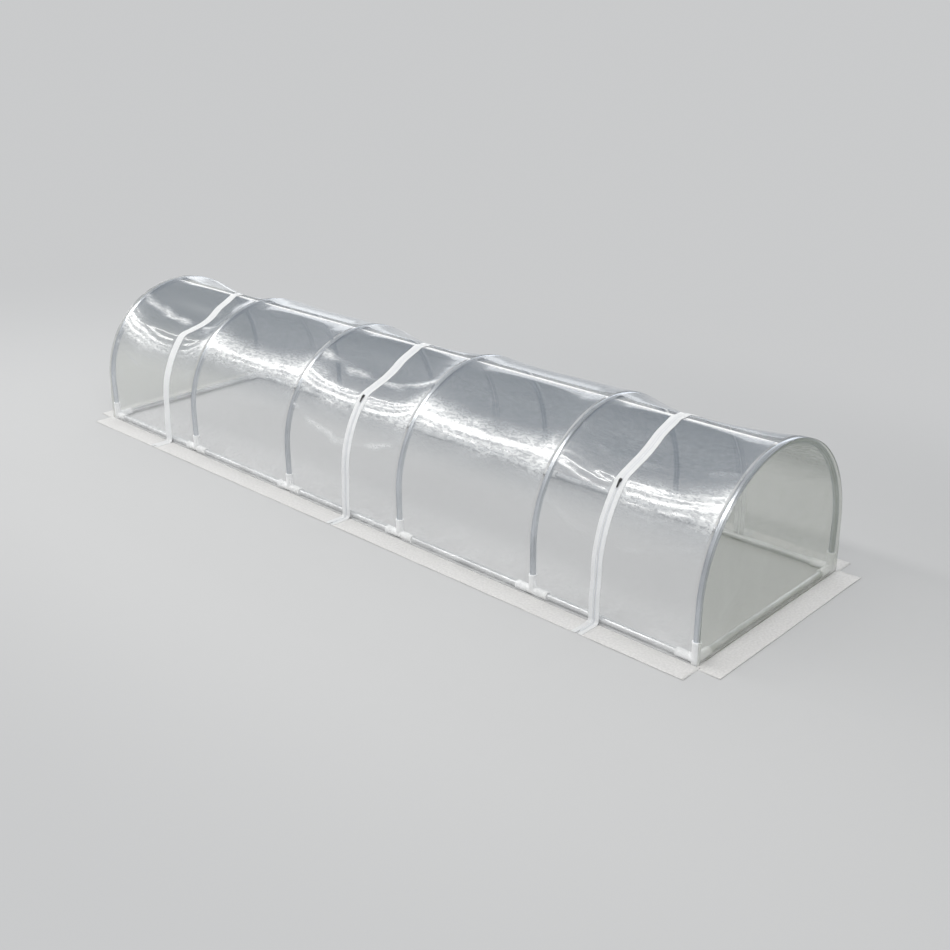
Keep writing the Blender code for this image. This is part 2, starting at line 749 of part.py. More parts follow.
def border_mesh():
    outer_x = FOLD_X - FIT_GAP
    outer_y = FOLD_Y - FIT_GAP
    outer = [(-outer_x, -outer_y), (outer_x, -outer_y), (outer_x, outer_y), (-outer_x, outer_y)]
    inner = [
        (-BORDER_INNER_X, -BORDER_INNER_Y),
        (BORDER_INNER_X, -BORDER_INNER_Y),
        (BORDER_INNER_X, BORDER_INNER_Y),
        (-BORDER_INNER_X, BORDER_INNER_Y),
    ]
    plate = flat_plate([outer, inner], SKIRT_THICKNESS)
    plate.location.z = SKIRT_THICKNESS / 2
    body = solid_mesh(plate, "border_plate")
    # Under each band's foot a pad lies between the film and the fold
    near = FILM_FOOT_Y + FILM_THICKNESS + FIT_GAP
    far = FOLD_Y - FOOT_PAD_INSET
    pads = []
    for x in BAND_X:
        low_x = x - BAND_WIDTH / 2
        high_x = x + BAND_WIDTH / 2
        low_z = SKIRT_THICKNESS - FOOT_SINK
        high_z = SKIRT_THICKNESS + FOOT_THICKNESS
        pads.append(block((low_x, -far, low_z), (high_x, -near, high_z)))
        pads.append(block((low_x, near, low_z), (high_x, far, high_z)))
    return combined(body, pads, "UNION", "skirt_border")


def side_flap_mesh():
    """The front flap, hinged on the X axis: it runs towards -Y below its top face."""
    reach = FOLD_X - FIT_GAP
    body = block((-reach, -FLAP_WIDTH, -SKIRT_THICKNESS), (reach, 0.0, 0.0))
    feet = []
    slits = []
    for x in BAND_X:
        half = BAND_WIDTH / 2
        feet.append(block((x - half, -FLAP_WIDTH, -FOOT_SINK), (x + half, -FOOT_START, FOOT_THICKNESS)))
        slit = SLIT_WIDTH / 2
        slits.append(block(
            (x - slit, -FLAP_WIDTH - OVERRUN, -SKIRT_THICKNESS - OVERRUN),
            (x + slit, -FLAP_WIDTH + SLIT_LENGTH, FOOT_THICKNESS + OVERRUN),
        ))
    joined = draft(combined(body, feet, "UNION", "flap_with_feet"))
    return combined(joined, slits, "DIFFERENCE", "side_flap")


def end_flap_mesh():
    """The right end flap, hinged on the Y axis: it runs towards +X below its top face."""
    reach = FOLD_Y - FIT_GAP
    return mesh_of(block((0.0, -reach, -SKIRT_THICKNESS), (FLAP_WIDTH, reach, 0.0)), "end_flap")


def make_skirt():
    add_part("skirt_border", border_mesh(), SKIRT_SHEET)
    front = side_flap_mesh()
    back = front.copy()
    back.name = "back_flap"
    back.transform(Matrix.Diagonal((1.0, -1.0, 1.0, 1.0)))
    back.flip_normals()
    end = end_flap_mesh()
    half_turn = Matrix.Rotation(math.pi, 4, "Z")
    top = SKIRT_THICKNESS
    add_part("front_flap", front, SKIRT_SHEET, Matrix.Translation((0.0, -FOLD_Y, top)))
    add_part("back_flap", back, SKIRT_SHEET, Matrix.Translation((0.0, FOLD_Y, top)))
    add_part("right_end_flap", end, SKIRT_SHEET, Matrix.Translation((FOLD_X, 0.0, top)))
    add_part("left_end_flap", end, SKIRT_SHEET, Matrix.Translation((-FOLD_X, 0.0, top)) @ half_turn)


def main():
    make_hoops()
    make_rails()
    make_connectors()
    make_ridge_rods()
    make_cover()
    make_end_panels()
    make_tapes()
    make_sliders()
    make_skirt()


main()
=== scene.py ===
"""Looks of a garden row cover tunnel: clear film, zipped bands, tubes, connectors and skirt."""

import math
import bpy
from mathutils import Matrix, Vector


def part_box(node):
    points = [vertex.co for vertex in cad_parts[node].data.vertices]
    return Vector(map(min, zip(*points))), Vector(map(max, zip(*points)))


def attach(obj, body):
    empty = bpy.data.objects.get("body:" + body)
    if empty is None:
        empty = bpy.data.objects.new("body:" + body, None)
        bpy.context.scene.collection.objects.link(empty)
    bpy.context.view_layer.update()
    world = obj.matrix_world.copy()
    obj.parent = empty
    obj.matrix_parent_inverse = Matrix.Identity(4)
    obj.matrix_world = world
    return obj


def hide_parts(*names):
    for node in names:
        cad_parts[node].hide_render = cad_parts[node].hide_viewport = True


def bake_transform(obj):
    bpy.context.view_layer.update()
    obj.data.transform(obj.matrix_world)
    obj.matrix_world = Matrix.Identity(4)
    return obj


bl_info = {
    "name": "Row Cover Tunnel Looks",
    "version": (1, 0, 0),
    "blender": (4, 5, 0),
    "location": "View3D > Sidebar > Row Cover",
    "description": "Dresses a packed row cover tunnel: film, zips, tubes, connectors and skirt",
    "category": "Object",
}

import bmesh
import bpy
import numpy as np
from bpy.props import FloatProperty, FloatVectorProperty, PointerProperty
from mathutils import Matrix, Vector

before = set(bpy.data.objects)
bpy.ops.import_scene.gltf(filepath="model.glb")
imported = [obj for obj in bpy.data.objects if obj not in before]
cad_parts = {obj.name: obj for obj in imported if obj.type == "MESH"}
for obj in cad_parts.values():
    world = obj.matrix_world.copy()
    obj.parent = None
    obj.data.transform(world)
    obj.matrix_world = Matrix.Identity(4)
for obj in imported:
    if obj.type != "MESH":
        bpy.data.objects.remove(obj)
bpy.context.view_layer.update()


# Sizes and places read from the frame

def lowest(node):
    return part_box(node)[0]


def highest(node):
    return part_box(node)[1]


def middle(node):
    return (lowest(node) + highest(node)) / 2


BAY_COUNT = 5
BAND_COUNT = 3
HOOPS = [f"hoop_{index + 1}" for index in range(BAY_COUNT + 1)]
HOOP_X = np.array([middle(name).x for name in HOOPS])
BAY_PITCH = HOOP_X[1] - HOOP_X[0]
TUBE_RADIUS = (highest("hoop_2").x - lowest("hoop_2").x) / 2
HOOP_RADIUS = highest("hoop_2").y - TUBE_RADIUS
LEG_HEIGHT = highest("hoop_2").z - TUBE_RADIUS - HOOP_RADIUS
LEG_FOOT = lowest("hoop_2").z
RAIL_HEIGHT = middle("front_rail_1").z
ROD_HEIGHT = middle("ridge_rod_1").z
ROD_RADIUS = (highest("ridge_rod_1").z - lowest("ridge_rod_1").z) / 2
BAND_LEFT = [lowest(f"zip_{index + 1}_left_tape").x for index in range(BAND_COUNT)]
BAND_RIGHT = [highest(f"zip_{index + 1}_right_tape").x for index in range(BAND_COUNT)]
BAND_X = np.array([(left + right) / 2 for left, right in zip(BAND_LEFT, BAND_RIGHT)])
BAND_HALF = (BAND_RIGHT[0] - BAND_LEFT[0]) / 2
COVER_END = highest("cover_section_4").x
FILM_THICKNESS = highest("right_end_panel").x - lowest("right_end_panel").x
FILM_FOOT = lowest("cover_section_1").z
FILM_RADIUS = highest("cover_section_1").z - LEG_HEIGHT - FILM_THICKNESS
FOOT_HALF_WIDTH = highest("cover_section_1").y - FILM_THICKNESS
PANEL_FACE = lowest("right_end_panel").x
FOLD_X = lowest("right_end_flap").x
FOLD_Y = lowest("back_flap").y
SKIRT_X = highest("right_end_flap").x
SKIRT_Y = highest("back_flap").y
SKIRT_THICKNESS = highest("right_end_flap").z
SOCKET_TOP = highest("front_tee_2").z
TEE_REACH = middle("front_tee_2").x - lowest("front_tee_2").x
CORNER_REACH = HOOP_X[-1] - lowest("front_right_corner").x

# Sizes shared by the film and the bands on it
FIT_GAP = 0.0003
HOOP_REST = 0.005
PARK_ANGLE = math.radians(42)
STATION_STEP = math.radians(8)
SAG_SHARES = (0.0, 0.52, 0.94, 1.0, 0.72, 0.46, 0.0)
ROD_CLEARANCE = 0.0013
CROWN_SAG = LEG_HEIGHT + FILM_RADIUS - (ROD_HEIGHT + ROD_RADIUS + ROD_CLEARANCE)
PLAIN_SAG = 0.022
BACK_SAG_SHARE = 0.35
BAND_SAGS = (0.050, 0.037, 0.033)
BAND_BAYS = (0, 2, 4)
EVEN_HALF = BAND_HALF + FIT_GAP
FILM_SLIT = 0.0062
LEG_RUN = LEG_HEIGHT - FILM_FOOT
ARC_RUN = math.pi * FILM_RADIUS
FULL_RUN = 2 * LEG_RUN + ARC_RUN
FOOT_FLARE = FOOT_HALF_WIDTH - FILM_RADIUS
FLARE_HEIGHT = LEG_HEIGHT - SOCKET_TOP
# Where the film hangs lowest in each bay, and how deep
BAY_LOWEST = HOOP_X[:-1] + BAY_PITCH / 2
BAY_SAG = np.full(BAY_COUNT, PLAIN_SAG)
for band_index, bay_index in enumerate(BAND_BAYS):
    BAY_LOWEST[bay_index] = BAND_X[band_index]
    BAY_SAG[bay_index] = BAND_SAGS[band_index]

# Zips: the side whose slope holds each band's slider
SLIDER_SIDES = ("back", "front", "front")
TAPE_THICKNESS = 0.0008
TAPE_BASE = FILM_THICKNESS + FIT_GAP
SLIT_WIDTH = 0.0045
SLIT_LENGTH = 0.0210
FOOT_BEND = 0.014
BLEND_HALF = 0.0025

# Camera fitted to the photograph, in its frame of 950 by 950 pixels
PHOTO_SIDE = 950
PHOTO_FOCUS = 1196.9
CAMERA_PLACE = (3.045, -2.888, 1.775)
CAMERA_AZIMUTH = math.radians(43.62)
CAMERA_ELEVATION = math.radians(22.62)
CAMERA_ROLL = math.radians(-0.44)
SENSOR_WIDTH = 36.0


# Settings that a user would change

class TunnelFilmSettings(bpy.types.PropertyGroup):
    """Clear film of the cover and of the end panels"""

    # The dark blue-grey over the top is partly haze and partly a painted sky reflection
    haze_and_sky_colour: FloatVectorProperty(
        name="Haze Colour", description="Colour of the cloudy film over the top",
        subtype="COLOR", size=3, min=0.0, max=1.0, default=(0.09, 0.12, 0.155),
    )
    # The olive colour of this haze is a painted reflection of green surroundings
    panel_haze_and_reflection_colour: FloatVectorProperty(
        name="End Panel Colour", description="Colour of the haze in the end panels",
        subtype="COLOR", size=3, min=0.0, max=1.0, default=(0.23, 0.27, 0.16),
    )
    low_haze: FloatProperty(
        name="Side Haze", description="How opaque each face of the film is low on the sides",
        subtype="FACTOR", min=0.0, max=1.0, default=0.02,
    )
    mid_haze: FloatProperty(
        name="Shoulder Haze", description="How opaque each face of the film is on the shoulders",
        subtype="FACTOR", min=0.0, max=1.0, default=0.20,
    )
    # Over the top this opacity also carries the painted sky reflection
    top_haze_and_sky: FloatProperty(
        name="Top Haze", description="How opaque each face of the film is over the top",
        subtype="FACTOR", min=0.0, max=1.0, default=0.47,
    )
    foot_haze: FloatProperty(
        name="Foot Haze", description="How opaque the dusty patches near the ground are",
        subtype="FACTOR", min=0.0, max=1.0, default=0.05,
    )
    # This whitening is partly creases and partly a painted highlight where the key's reflection
    # falls
    crease_and_highlight_haze: FloatProperty(
        name="Crease Haze", description="How much more opaque each face is where it is creased",
        subtype="FACTOR", min=0.0, max=1.0, default=0.42,
    )
    panel_haze: FloatProperty(
        name="End Panel Haze", description="How opaque each face of an end panel is",
        subtype="FACTOR", min=0.0, max=1.0, default=0.13,
    )
    sheen_roughness: FloatProperty(
        name="Sheen Roughness", description="How wide the soft sheen under the sharp glints is",
        subtype="FACTOR", min=0.0, max=1.0, default=0.42,
    )
    fold_depth: FloatProperty(
        name="Fold Depth", description="Height of the tension folds beside the bands",
        unit="LENGTH", min=0.0, max=0.006, default=0.0017,
    )
    crinkle_depth: FloatProperty(
        name="Crinkle Depth", description="Height of the fine crinkles on the shoulders",
        unit="LENGTH", min=0.0, max=0.003, default=0.0006,
    )
    pitch_along: FloatProperty(
        name="Pitch Along", description="Distance between the film's points along the tunnel",
        unit="LENGTH", min=0.003, max=0.05, default=0.0075,
    )
    pitch_across: FloatProperty(
        name="Pitch Across", description="Distance between the film's points over the arch",
        unit="LENGTH", min=0.003, max=0.05, default=0.0055,
    )


class TunnelTubeSettings(bpy.types.PropertyGroup):
    """Hoops, rails and ridge rods"""

    metal_colour: FloatVectorProperty(
        name="Tube Colour", description="Colour of the drawn aluminium tube",
        subtype="COLOR", size=3, min=0.0, max=1.0, default=(0.68, 0.71, 0.75),
    )
    # The rails are the hoops' aluminium painted paler, a painted sky reflection on them; only
    # their rougher finish is their own
    rail_painted_pale_colour: FloatVectorProperty(
        name="Rail Colour", description="Colour of the duller rails near the ground",
        subtype="COLOR", size=3, min=0.0, max=1.0, default=(0.88, 0.89, 0.90),
    )
    rod_colour: FloatVectorProperty(
        name="Rod Colour", description="Colour of the ridge rods",
        subtype="COLOR", size=3, min=0.0, max=1.0, default=(0.93, 0.935, 0.94),
    )
    streak_depth: FloatProperty(
        name="Streak Depth", description="Depth of the drawing marks along the tube",
        unit="LENGTH", min=0.0, max=0.0002, default=0.000015,
    )


class TunnelFittingSettings(bpy.types.PropertyGroup):
    """White moulded tees and corners"""

    colour: FloatVectorProperty(
        name="Colour", description="Colour of the moulded plastic",
        subtype="COLOR", size=3, min=0.0, max=1.0, default=(0.88, 0.89, 0.90),
    )
    detail: FloatProperty(
        name="Detail", description="Size of the smallest rounding on a fitting",
        unit="LENGTH", min=0.0004, max=0.003, default=0.0008,
    )


class TunnelZipSettings(bpy.types.PropertyGroup):
    """Zipped bands and their sliders"""

    tape_colour: FloatVectorProperty(
        name="Tape Colour", description="Colour of the woven tape",
        subtype="COLOR", size=3, min=0.0, max=1.0, default=(0.76, 0.775, 0.79),
    )
    # The seam line's grey-blue is partly stitching and partly painted shade in the groove beside
    # the chain
    seam_shade_colour: FloatVectorProperty(
        name="Seam Colour", description="Colour of the stitching line beside the chain",
        subtype="COLOR", size=3, min=0.0, max=1.0, default=(0.57, 0.60, 0.65),
    )
    slider_colour: FloatVectorProperty(
        name="Slider Colour", description="Colour of the enamelled sliders and pulls",
        subtype="COLOR", size=3, min=0.0, max=1.0, default=(0.018, 0.018, 0.020),
    )
    tooth_pitch: FloatProperty(
        name="Tooth Pitch", description="Distance between the teeth of one side of the chain",
        unit="LENGTH", min=0.001, max=0.01, default=0.0016,
    )


class TunnelSkirtSettings(bpy.types.PropertyGroup):
    """Pale skirt on the ground"""

    colour: FloatVectorProperty(
        name="Colour", description="Colour of the woven skirt",
        subtype="COLOR", size=3, min=0.0, max=1.0, default=(0.66, 0.655, 0.65),
    )
    lift: FloatProperty(
        name="Lift", description="How far the outer edge of the skirt lifts off the ground",
        unit="LENGTH", min=0.0, max=0.01, default=0.0010,
    )


class TunnelStageSettings(bpy.types.PropertyGroup):
    """Floor, lamps and surroundings"""

    floor_colour: FloatVectorProperty(
        name="Floor Colour", description="Colour of the plain floor",
        subtype="COLOR", size=3, min=0.0, max=1.0, default=(0.54, 0.545, 0.55),
    )
    key_power: FloatProperty(
        name="Key Power", description="Power of the long softbox over the left shoulder",
        unit="POWER", min=0.0, default=130.0,
    )
    back_power: FloatProperty(
        name="Back Power", description="Power of the broad softbox behind the tunnel",
        unit="POWER", min=0.0, default=105.0,
    )
    fill_strength: FloatProperty(
        name="Fill Strength", description="Strength of the even light from all round",
        min=0.0, max=2.0, default=0.60,
    )


# Shader nodes

def set_socket(tree, socket, value):
    """Joins a socket to another one, or gives it a plain value."""
    if isinstance(value, bpy.types.NodeSocket):
        tree.links.new(value, socket)
    else:
        socket.default_value = value


def add_node(tree, kind, sockets=None, **settings):
    """A node with its settings made and its sockets set or joined."""
    made = tree.nodes.new(kind)
    for key, value in settings.items():
        setattr(made, key, value)
    for key, value in (sockets or {}).items():
        set_socket(tree, made.inputs[key], value)
    return made


def calculate(tree, operation, first, second=0.0, third=None, clamp=False):
    """The result of one sum on two or three values."""
    sockets = {0: first, 1: second}
    if third is not None:
        sockets[2] = third
    made = add_node(tree, "ShaderNodeMath", sockets, operation=operation, use_clamp=clamp)
    return made.outputs[0]


def remap(tree, value, from_low, from_high, to_low=0.0, to_high=1.0):
    """A value moved smoothly from one range to another."""
    sockets = {
        "Value": value, "From Min": from_low, "From Max": from_high,
        "To Min": to_low, "To Max": to_high,
    }
    made = add_node(tree, "ShaderNodeMapRange", sockets, interpolation_type="SMOOTHSTEP")
    return made.outputs["Result"]


def blend_colours(tree, factor, first, second):
    """A colour between two others."""
    sockets = {0: factor, 6: first, 7: second}
    return add_node(tree, "ShaderNodeMix", sockets, data_type="RGBA").outputs[2]


def opaque(colour):
    return (*colour, 1.0)


def shaded(colour, share):
    """A colour made darker or paler by a share, and opaque."""
    return opaque(min(channel * share, 1.0) for channel in colour)


def new_group(name, inputs, outputs):
    """An empty shader node group with named sockets, and its two end nodes."""
    tree = bpy.data.node_groups.new(name, "ShaderNodeTree")
    for label, kind, value in inputs:
        socket = tree.interface.new_socket(label, in_out="INPUT", socket_type=kind)
        if value is not None:
            socket.default_value = value
    for label, kind in outputs:
        tree.interface.new_socket(label, in_out="OUTPUT", socket_type=kind)
    return tree, tree.nodes.new("NodeGroupInput"), tree.nodes.new("NodeGroupOutput")


CRINKLES_PER_METRE = (46.0, 118.0, 1.0)
# Noise values between which a mask rises from 0 to 1
CRINKLE_RANGE = (0.36, 0.64)
MARK_RANGE = (0.62, 0.72)
DUST_RANGE = (0.38, 0.72)
MARK_FINENESS = 7.0
DUST_CLOUDS_PER_METRE = 26.0
THREAD_CLOUDS_PER_THREAD = 0.21


def film_crinkle_group():
    """Little creases of stiff film, drawn out along it: a height and the same as a mask."""
    tree, start, end = new_group(
        "Film Crinkles",
        [
            ("Vector", "NodeSocketVector", None),
            ("Density", "NodeSocketFloat", 1.0),
            ("Depth", "NodeSocketFloat", 0.0003),
        ],
        [("Height", "NodeSocketFloat"), ("Mask", "NodeSocketFloat")],
    )
    stretched = add_node(
        tree, "ShaderNodeVectorMath", {0: start.outputs["Vector"], 1: CRINKLES_PER_METRE},
        operation="MULTIPLY",
    )
    scaled = add_node(
        tree, "ShaderNodeVectorMath",
        {0: stretched.outputs["Vector"], "Scale": start.outputs["Density"]}, operation="SCALE",
    )
    creases = add_node(
        tree, "ShaderNodeTexNoise",
        {
            "Vector": scaled.outputs["Vector"], "Scale": 1.0, "Detail": 3.0, "Roughness": 0.6,
            "Distortion": 0.7,
        },
        noise_dimensions="2D",
    )
    height = calculate(tree, "MULTIPLY", creases.outputs["Fac"], start.outputs["Depth"])
    tree.links.new(height, end.inputs["Height"])
    tree.links.new(remap(tree, creases.outputs["Fac"], *CRINKLE_RANGE), end.inputs["Mask"])
    return tree


def handling_group():
    """Broad uneven patches and sparse fine marks from handling."""
    tree, start, end = new_group(
        "Handling Marks",
        [("Vector", "NodeSocketVector", None), ("Scale", "NodeSocketFloat", 40.0)],
        [("Patches", "NodeSocketFloat"), ("Marks", "NodeSocketFloat")],
    )
    patches = add_node(
        tree, "ShaderNodeTexNoise",
        {"Vector": start.outputs["Vector"], "Scale": start.outputs["Scale"], "Detail": 3.0},
    )
    finer = calculate(tree, "MULTIPLY", start.outputs["Scale"], MARK_FINENESS)
    scratches = add_node(
        tree, "ShaderNodeTexNoise",
        {"Vector": start.outputs["Vector"], "Scale": finer, "Detail": 2.0, "Distortion": 1.6},
    )
    tree.links.new(patches.outputs["Fac"], end.inputs["Patches"])
    tree.links.new(remap(tree, scratches.outputs["Fac"], *MARK_RANGE), end.inputs["Marks"])
    return tree


def ground_dust_group():
    """Dust that fades out above the ground."""
    tree, start, end = new_group(
        "Ground Dust",
        [("Vector", "NodeSocketVector", None), ("Reach", "NodeSocketFloat", 0.05)],
        [("Mask", "NodeSocketFloat")],
    )
    parts = add_node(tree, "ShaderNodeSeparateXYZ", {0: start.outputs["Vector"]})
    height = calculate(tree, "DIVIDE", parts.outputs["Z"], start.outputs["Reach"])
    near = remap(tree, height, 1.0, 0.0)
    cloud = add_node(
        tree, "ShaderNodeTexNoise",
        {
            "Vector": start.outputs["Vector"], "Scale": DUST_CLOUDS_PER_METRE, "Detail": 4.0,
        },
    )
    mask = calculate(tree, "MULTIPLY", near, remap(tree, cloud.outputs["Fac"], *DUST_RANGE))
    tree.links.new(mask, end.inputs["Mask"])
    return tree


def weave_group():
    """Plain weave: two crossing sets of threads, as a height from 0 to 1 and a shade."""
    tree, start, end = new_group(
        "Woven Threads",
        [("Vector", "NodeSocketVector", None), ("Threads", "NodeSocketFloat", 1200.0)],
        [("Height", "NodeSocketFloat"), ("Shade", "NodeSocketFloat")],
    )
    scaled = add_node(
        tree, "ShaderNodeVectorMath",
        {0: start.outputs["Vector"], "Scale": start.outputs["Threads"]}, operation="SCALE",
    )
    parts = add_node(tree, "ShaderNodeSeparateXYZ", {0: scaled.outputs["Vector"]})
    waves = []
    for axis in ("X", "Y"):
        turn = calculate(tree, "MULTIPLY", parts.outputs[axis], 2 * math.pi)
        waves.append(calculate(tree, "SINE", turn))
    crossed = calculate(tree, "MULTIPLY", waves[0], waves[1])
    height = calculate(tree, "MULTIPLY_ADD", crossed, 0.5, 0.5)
    uneven = add_node(
        tree, "ShaderNodeTexNoise",
        {
            "Vector": scaled.outputs["Vector"], "Scale": THREAD_CLOUDS_PER_THREAD, "Detail": 2.0,
        },
    )
    tree.links.new(height, end.inputs["Height"])
    tree.links.new(uneven.outputs["Fac"], end.inputs["Shade"])
    return tree


GROUPS = {}


def use_group(tree, name, sockets):
    """A shared effect placed in a material. Each group is built once."""
    builders = {
        "Film Crinkles": film_crinkle_group,
        "Handling Marks": handling_group,
        "Ground Dust": ground_dust_group,
        "Woven Threads": weave_group,
    }
    if name not in GROUPS:
        GROUPS[name] = builders[name]()
    made = tree.nodes.new("ShaderNodeGroup")
    made.node_tree = GROUPS[name]
    for key, value in sockets.items():
        set_socket(tree, made.inputs[key], value)
    return made


def new_material(name, **shader_values):
    """A material with its node tree, its Principled shader and its coordinates."""
    material = bpy.data.materials.new(name)
    material.use_nodes = True
    tree = material.node_tree
    shader = tree.nodes["Principled BSDF"]
    for key, value in shader_values.items():
        shader.inputs[key.replace("_", " ")].default_value = value
    place = tree.nodes.new("ShaderNodeTexCoord")
    return material, tree, shader, place


def bumped(tree, height):
    """A normal from a height in metres."""
    return add_node(tree, "ShaderNodeBump", {"Height": height, "Distance": 1.0}).outputs["Normal"]


# Film finish, by the run up from the foot: clear, then hazy on the shoulder, cloudy over the top,
# where its dark blue-grey is partly a painted sky reflection
CLEAR_RUN = 0.25
SHOULDER_RUN = 0.42
CLOUD_AND_SKY_RUN = 0.56
FOOT_HAZE = 0.08
HOOP_CLEAR = 0.010
HOOP_CLEAR_FADE = 0.006
ROD_CLEAR = 0.015
ROD_CLEAR_FADE = 0.008
CONTACT_CLEARING = 0.92
SHADE_CLEARING = 0.75
FILM_CREASE = 0.00046
FILM_ROUGHNESS = 0.15
FILM_GLOSS_IOR = 2.15
FILM_SHEEN_IOR = 1.9
FILM_IOR = 1.5
# Crinkles away from the crease and highlight layer are this much shallower, and are full from this
# share of that layer on
SMOOTH_SHARE = 0.35
FULL_CREASE_SHARE = 0.5
RAGGED_SHARES = (0.62, 1.08)
UNEVEN_SHARES = (0.93, 1.07)
PANEL_DENSITY = 0.4
PANEL_CREASE = FILM_CREASE / 4
DUST_COLOUR = (0.66, 0.66, 0.63)
PAINTED_HIGHLIGHT_COLOUR = (0.80, 0.82, 0.83)


def edge_share(tree, normal):
    """Mirror share of a thin film, the same from both of its sides."""
    inside = tree.nodes.new("ShaderNodeNewGeometry").outputs["Backfacing"]
    ior = calculate(tree, "MULTIPLY_ADD", inside, 1 / FILM_IOR - FILM_IOR, FILM_IOR)
    return add_node(tree, "ShaderNodeFresnel", {"IOR": ior, "Normal": normal}).outputs[0]


def near_line(tree, value, half, fade):
    """1 within half of zero, falling to 0 over a further fade."""
    return remap(tree, calculate(tree, "ABSOLUTE", value), half + fade, half)


def held_mask(tree, along, from_crown):
    """1 where the cover lies on a hoop or on the ridge rods, 0 away from them."""
    from_end = calculate(tree, "SUBTRACT", along, float(HOOP_X[0]))
    from_hoop = calculate(tree, "PINGPONG", from_end, float(BAY_PITCH / 2))
    on_hoop = near_line(tree, from_hoop, HOOP_CLEAR, HOOP_CLEAR_FADE)
    on_rod = near_line(tree, from_crown, ROD_CLEAR, ROD_CLEAR_FADE)
    return calculate(tree, "MAXIMUM", on_hoop, on_rod)


def finish_film(tree, shader, settings, normal, tint, haze, clearing):
    """Joins a film's parts: what shows through, and over it a hazy body with a crinkled gloss."""
    tree.links.new(tint, shader.inputs["Base Color"])
    tree.links.new(normal, shader.inputs["Normal"])
    shader.inputs["IOR"].default_value = FILM_GLOSS_IOR
    shader.inputs["Coat Weight"].default_value = 1.0
    shader.inputs["Coat IOR"].default_value = FILM_SHEEN_IOR
    shader.inputs["Coat Roughness"].default_value = settings.sheen_roughness
    share = calculate(tree, "ADD", haze, edge_share(tree, normal), clamp=True)
    share = calculate(tree, "MULTIPLY", share, clearing)
    # Haze scatters light forward, so the film shades what is under it less than it hides it
    path = tree.nodes.new("ShaderNodeLightPath")
    rays = path.outputs["Is Shadow Ray"], path.outputs["Is Diffuse Ray"]
    shading = calculate(tree, "MAXIMUM", *rays)
    passed = calculate(tree, "MULTIPLY_ADD", shading, -SHADE_CLEARING, 1.0)
    share = calculate(tree, "MULTIPLY", share, passed)
    clear = tree.nodes.new("ShaderNodeBsdfTransparent")
    surface = add_node(
        tree, "ShaderNodeMixShader", {0: share, 1: clear.outputs[0], 2: shader.outputs[0]},
    )
    tree.links.new(surface.outputs[0], tree.nodes["Material Output"].inputs["Surface"])


def cover_material(settings):
    """Clear film that clouds over the top, painted darker there as a sky reflection, and whitens
    along its shoulders with a painted highlight, partly creases.
    """
    material, tree, shader, place = new_material("cover_film", Roughness=FILM_ROUGHNESS)
    flat = add_node(tree, "ShaderNodeSeparateXYZ", {0: place.outputs["UV"]})
    along = flat.outputs["X"]
    from_crown = calculate(tree, "SUBTRACT", flat.outputs["Y"], FULL_RUN / 2)
    side_run = calculate(tree, "SUBTRACT", FULL_RUN / 2, calculate(tree, "ABSOLUTE", from_crown))
    # The crease and highlight layer: creases plus a painted highlight
    creased = add_node(tree, "ShaderNodeAttribute", attribute_name=CREASE_HIGHLIGHT_LAYER).outputs["Fac"]
    crinkles = use_group(
        tree, "Film Crinkles",
        {"Vector": place.outputs["UV"], "Density": 1.0, "Depth": FILM_CREASE},
    )
    depth = remap(tree, creased, 0.0, FULL_CREASE_SHARE, SMOOTH_SHARE, 1.0)
    normal = bumped(tree, calculate(tree, "MULTIPLY", crinkles.outputs["Height"], depth))
    dust = use_group(tree, "Ground Dust", {"Vector": place.outputs["Object"], "Reach": FOOT_HAZE})
    ragged = remap(tree, crinkles.outputs["Mask"], 0.0, 1.0, *RAGGED_SHARES)
    # Painted highlight, partly crease whitening, made ragged by the crinkles
    highlight_and_crease_share = calculate(tree, "MULTIPLY", creased, ragged, clamp=True)
    shoulder = remap(
        tree, side_run, CLEAR_RUN, SHOULDER_RUN, settings.low_haze, settings.mid_haze,
    )
    # Cloud over the top: partly haze, partly a painted sky reflection
    cloud = remap(
        tree, side_run, SHOULDER_RUN, CLOUD_AND_SKY_RUN, 0.0, settings.top_haze_and_sky - settings.mid_haze,
    )
    uneven = remap(tree, crinkles.outputs["Mask"], 0.0, 1.0, *UNEVEN_SHARES)
    haze_and_sky_share = calculate(tree, "MULTIPLY", calculate(tree, "ADD", shoulder, cloud), uneven)
    # Painted sky reflection: the tint turns from the painted highlight's white low down to dark
    # blue-grey up the shoulder
    painted_sky_share = remap(tree, side_run, CLEAR_RUN, SHOULDER_RUN)
    foot = calculate(tree, "MULTIPLY", dust.outputs["Mask"], settings.foot_haze)
    # Whitening from the painted highlight and the creases
    white = calculate(tree, "MULTIPLY", highlight_and_crease_share, settings.crease_and_highlight_haze)
    haze = calculate(tree, "ADD", haze_and_sky_share, calculate(tree, "ADD", foot, white))
    tint = blend_colours(tree, painted_sky_share, opaque(PAINTED_HIGHLIGHT_COLOUR), opaque(settings.haze_and_sky_colour))
    tint = blend_colours(tree, highlight_and_crease_share, tint, opaque(PAINTED_HIGHLIGHT_COLOUR))
    held = calculate(tree, "MULTIPLY", held_mask(tree, along, from_crown), -CONTACT_CLEARING)
    clearing = calculate(tree, "ADD", held, 1.0)
    finish_film(tree, shader, settings, normal, tint, haze, clearing)
    return material


